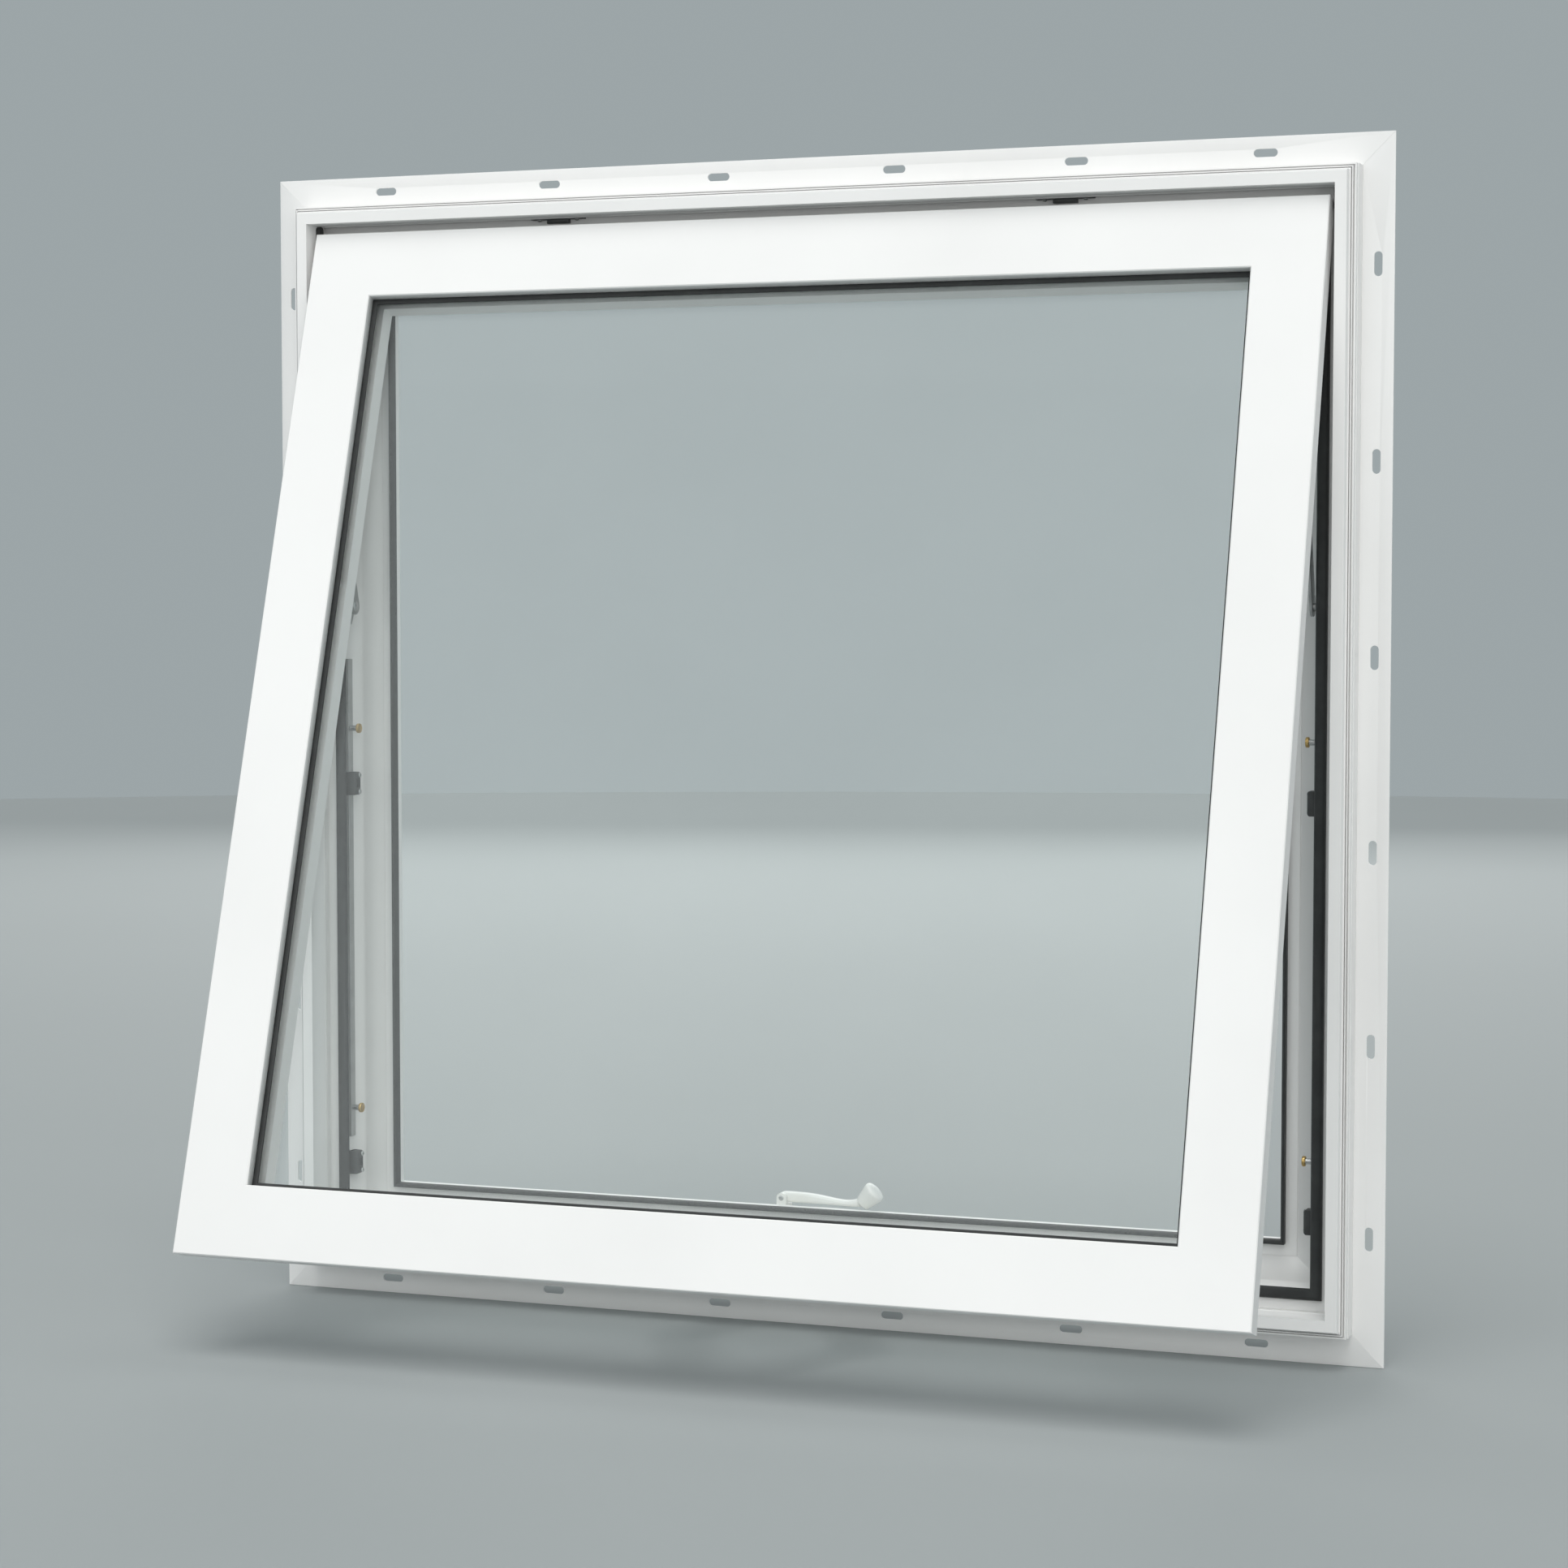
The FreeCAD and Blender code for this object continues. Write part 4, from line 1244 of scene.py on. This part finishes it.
@dataclass
class Fasteners:
    """Screw and rivet heads of the stays, locks, snubbers, keepers and operator."""

    sizes: Sizes
    finishes: Finishes
    trees: dict[Recess, HeadTree] = field(default_factory=dict)
    recess_width: float = 0.26
    recess_depth: float = 0.7
    crease: float = 40.0
    stay_y: float = 8.6
    track_x: float = 423.7
    track_z: tuple[float, ...] = (612.0, 690.0, 800.0)
    pivot_x: float = 418.1
    pivot_z: float = 585.3
    plate_x: float = 411.1
    plate_z: tuple[float, ...] = (866.0, 800.0, 768.0, 700.0)
    pin_z: tuple[float, ...] = (146.4, 479.0)
    block_x: float = 416.7
    block_y: float = 11.6
    block_holes: tuple[float, ...] = (-55.4, -41.0)
    keeper_x: float = 410.7
    keeper_y: float = 3.2
    keeper_holes: tuple[float, ...] = (-4.5, 26.5)
    snubber_x: tuple[float, ...] = (-237.0, -203.0, 203.0, 237.0)
    snubber_y: float = -2.5
    snubber_z: float = 910.1
    base_x: tuple[float, ...] = (-38.0, 38.0)
    base_y: tuple[float, ...] = (8.5, 29.5)
    base_z: float = 45.3
    hinge_x: float = -41.0
    hinge_z: float = 81.65
    hinge_ends: tuple[Point2, ...] = ((53.2, -1.0), (67.5, 1.0))
    elbow_rise: float = 7.2

    def both(self, x: float, y: float, heights: Iterable[float], inward: bool = True) -> tuple[Place, ...]:
        """Places on the left, each followed by its twin on the right.

        Args:
            x: distance from the middle.
            y: depth.
            heights: height of each place.
            inward: True where the heads face the window's middle.

        Returns:
            Places with their axes.
        """
        way = 1.0 if inward else -1.0
        return tuple(((s * x, y, z), (-s * way, 0.0, 0.0)) for z in heights for s in (-1.0, 1.0))

    def leaned(self, places: Iterable[Place]) -> tuple[Place, ...]:
        """Places on the closed sash, carried to its open rest place.

        Args:
            places: places with their axes in millimetres.

        Returns:
            The carried places.
        """
        turn = self.sizes.lean()
        spin = turn.to_3x3()
        return tuple((tuple(turn @ (Vector(place) * MM) / MM), tuple(spin @ Vector(axis))) for place, axis in places)

    def rows(self) -> list[HeadRow]:
        """All rows of heads apart from the elbows."""
        track = self.both(self.track_x, self.stay_y, self.track_z)
        pivot = self.both(self.pivot_x, self.stay_y, [self.pivot_z])
        plates = self.leaned(self.both(self.plate_x, self.stay_y, self.plate_z, inward=False))
        blocks = self.both(self.block_x, self.block_y, [z + hole for z in self.pin_z for hole in self.block_holes])
        holes = [z + hole for z in self.pin_z for hole in self.keeper_holes]
        keepers = self.leaned(self.both(self.keeper_x, self.keeper_y, holes, inward=False))
        snubbers = tuple(((x, self.snubber_y, self.snubber_z), (0.0, 0.0, -1.0)) for x in self.snubber_x)
        base = tuple(((x, y, self.base_z), (0.0, 0.0, 1.0)) for x in self.base_x for y in self.base_y)
        rivet = tuple(((self.hinge_x, y, self.hinge_z), (0.0, way, 0.0)) for y, way in self.hinge_ends)
        return [
            HeadRow("track_screws", Body.FRAME, track, radius=3.3, height=0.9, seed=11),
            HeadRow("stay_pivot_heads", Body.FRAME, pivot, radius=4.6, height=1.3, recess=Recess.NONE),
            HeadRow("sash_plate_screws", Body.SASH, plates, radius=3.2, height=0.9, seed=5),
            HeadRow("block_screws", Body.FRAME, blocks, radius=2.2, height=1.3, seed=7),
            HeadRow("keeper_screws", Body.SASH, keepers, radius=2.4, height=0.8, seed=9),
            HeadRow("snubber_screws", Body.FRAME, snubbers, radius=2.2, height=1.5, seed=13),
            HeadRow("base_screws", Body.FRAME, base, radius=2.8, height=0.8, seed=17),
            HeadRow("hinge_rivet", Body.FRAME, rivet, radius=2.3, height=0.7, recess=Recess.NONE),
        ]

    def elbow_rows(self) -> list[HeadRow]:
        """Rivet heads on the operator's elbows, along the pitched pivots of the record."""
        rows = []
        joints = {j["name"]: j for j in frame["record"]["behaviour"]["joints"]}
        for side, body in zip(SIDES, (Body.ARM_LEFT, Body.ARM_RIGHT)):
            joint = joints["link_" + side + "_fold"]
            up = Vector(joint["axis"])
            if up.z < 0:
                up = -up
            place = Vector(joint["pos_m"]) / MM + up * self.elbow_rise
            spot = ((tuple(place), tuple(up)),)
            rows.append(HeadRow("elbow_rivet_" + side, body, spot, radius=4.4, height=1.1, recess=Recess.NONE))
        return rows

    def build(self, row: HeadRow) -> Piece:
        """Set one row of heads.

        Args:
            row: places and size of the heads.

        Returns:
            The heads as one plain mesh.
        """
        mesh = bpy.data.meshes.new(row.name + "_points")
        mesh.from_pydata([Vector(place) * MM for place, _ in row.places], [], [])
        axes = mesh.attributes.new("axis", "FLOAT_VECTOR", "POINT")
        axes.data.foreach_set("vector", [part for _, axis in row.places for part in axis])
        seedbed = linked(row.name + "_points", mesh)
        tree = self.trees[row.recess]
        modifier = seedbed.modifiers.new("heads", "NODES")
        modifier.node_group = tree.tree
        values = {
            "Head Radius": row.radius * MM,
            "Head Height": row.height * MM,
            "Recess Width": self.recess_width * row.radius * MM,
            "Recess Depth": self.recess_depth * row.height * MM,
            "Spin Seed": row.seed,
            "Finish": self.finishes["steel_bright"],
        }
        for label, value in values.items():
            modifier[tree.inputs[label].identifier] = value
        depsgraph = bpy.context.evaluated_depsgraph_get()
        heads = bpy.data.meshes.new_from_object(seedbed.evaluated_get(depsgraph))
        bpy.data.objects.remove(seedbed)
        bpy.data.meshes.remove(mesh)
        heads.name = row.name
        return smooth(linked(row.name, heads), self.crease)

    def dress(self) -> None:
        """Set every row of heads."""
        self.trees = {recess: HeadTree(recess) for recess in Recess}
        for row in self.rows() + self.elbow_rows():
            fit(self.build(row), row.body, Slot.STEEL)


@dataclass
class Studio:
    """Camera, floor and soft lights."""

    floor_z: float = -0.0132
    floor_radius: float = 7.6
    floor_sides: int = 96
    camera_place: Point3 = (0.93088, -2.64375, 0.59658)
    camera_down: float = 3.2233
    camera_turn: float = 19.768
    camera_reach: float = 100.0
    lens: float = 77.872
    sensor: float = 36.0
    surround: Colour = (0.335, 0.378, 0.39)
    lamp_target: Point3 = (0.0, 0.0, 0.5)
    lamp_size: Point2 = (4.4, 3.2)
    warm: Colour = (1.0, 0.985, 0.965)
    warmer: Colour = (1.0, 0.98, 0.955)
    cool: Colour = (0.99, 0.99, 1.0)

    def camera(self) -> None:
        """Camera at the photograph's view."""
        data = bpy.data.cameras.new("camera")
        data.sensor_width = self.sensor
        data.lens = self.lens
        data.clip_end = self.camera_reach
        obj = linked("camera", data)
        obj.location = self.camera_place
        obj.rotation_euler = (math.radians(90 - self.camera_down), 0.0, math.radians(self.camera_turn))
        bpy.context.scene.camera = obj

    def floor(self) -> None:
        """Round pale floor under the window."""
        bm = bmesh.new()
        bmesh.ops.create_circle(bm, cap_ends=True, segments=self.floor_sides, radius=self.floor_radius)
        bmesh.ops.translate(bm, verts=bm.verts[:], vec=Vector((0.0, 0.0, self.floor_z)))
        mesh_object("floor", bm, StudioPaint("studio_floor").material())

    def lamp(self, name: str, place: Point3, power: float, colour: Colour) -> None:
        """Soft area lamp that faces the window.

        Args:
            name: name of the lamp.
            place: place in metres.
            power: power in watts.
            colour: light colour.
        """
        data = bpy.data.lights.new(name, "AREA")
        data.shape = "RECTANGLE"
        data.size, data.size_y = self.lamp_size
        data.energy = power
        data.color = colour
        obj = linked(name, data)
        obj.location = place
        obj.rotation_euler = (Vector(self.lamp_target) - Vector(place)).to_track_quat("-Z", "Y").to_euler()

    def sun(self, name: str, way: Point3, strength: float, spread: float, colour: Colour) -> None:
        """Broad even light.

        Args:
            name: name of the light.
            way: direction toward the light.
            strength: light on a facing surface in watts a square metre.
            spread: apparent width of the light in degrees.
            colour: light colour.
        """
        data = bpy.data.lights.new(name, "SUN")
        data.energy = strength
        data.angle = math.radians(spread)
        data.color = colour
        linked(name, data).rotation_euler = Vector(way).to_track_quat("Z", "Y").to_euler()

    def build(self) -> None:
        """Set up the studio."""
        scene = bpy.context.scene
        scene.view_settings.view_transform = "Standard"
        world = bpy.data.worlds.new("studio")
        world.use_nodes = True
        background = world.node_tree.nodes["Background"]
        background.inputs["Color"].default_value = (*self.surround, 1.0)
        background.inputs["Strength"].default_value = 1.0
        scene.world = world
        self.camera()
        self.floor()
        self.sun("key", way=(0.06, -0.36, 0.93), strength=1.38, spread=40.0, colour=self.warm)
        self.sun("fill", way=(0.5, -0.86, 0.1), strength=1.54, spread=80.0, colour=self.warmer)
        self.lamp("veil", place=(-1.6, -4.4, 2.7), power=44.0, colour=self.cool)
        self.lamp("room", place=(-1.4, 4.8, 2.6), power=75.0, colour=self.warm)


def main() -> None:
    """Build the studio and dress every sub-assembly of the window."""
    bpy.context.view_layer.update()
    logging.basicConfig(level=logging.INFO, format="%(message)s")
    sizes = Sizes()
    sizes.read()
    finishes = Finishes(sizes.open_angle)
    finishes.build()
    Studio().build()
    for assembly in (
        OuterFrame(sizes, finishes),
        Seals(sizes, finishes),
        Sash(sizes, finishes),
        Stays(finishes),
        Locks(finishes),
        PaintedShadeBumpers(finishes),
        Operator(finishes),
        Crank(finishes),
        Fasteners(sizes, finishes),
    ):
        assembly.dress()


if __name__ == "__main__":
    main()
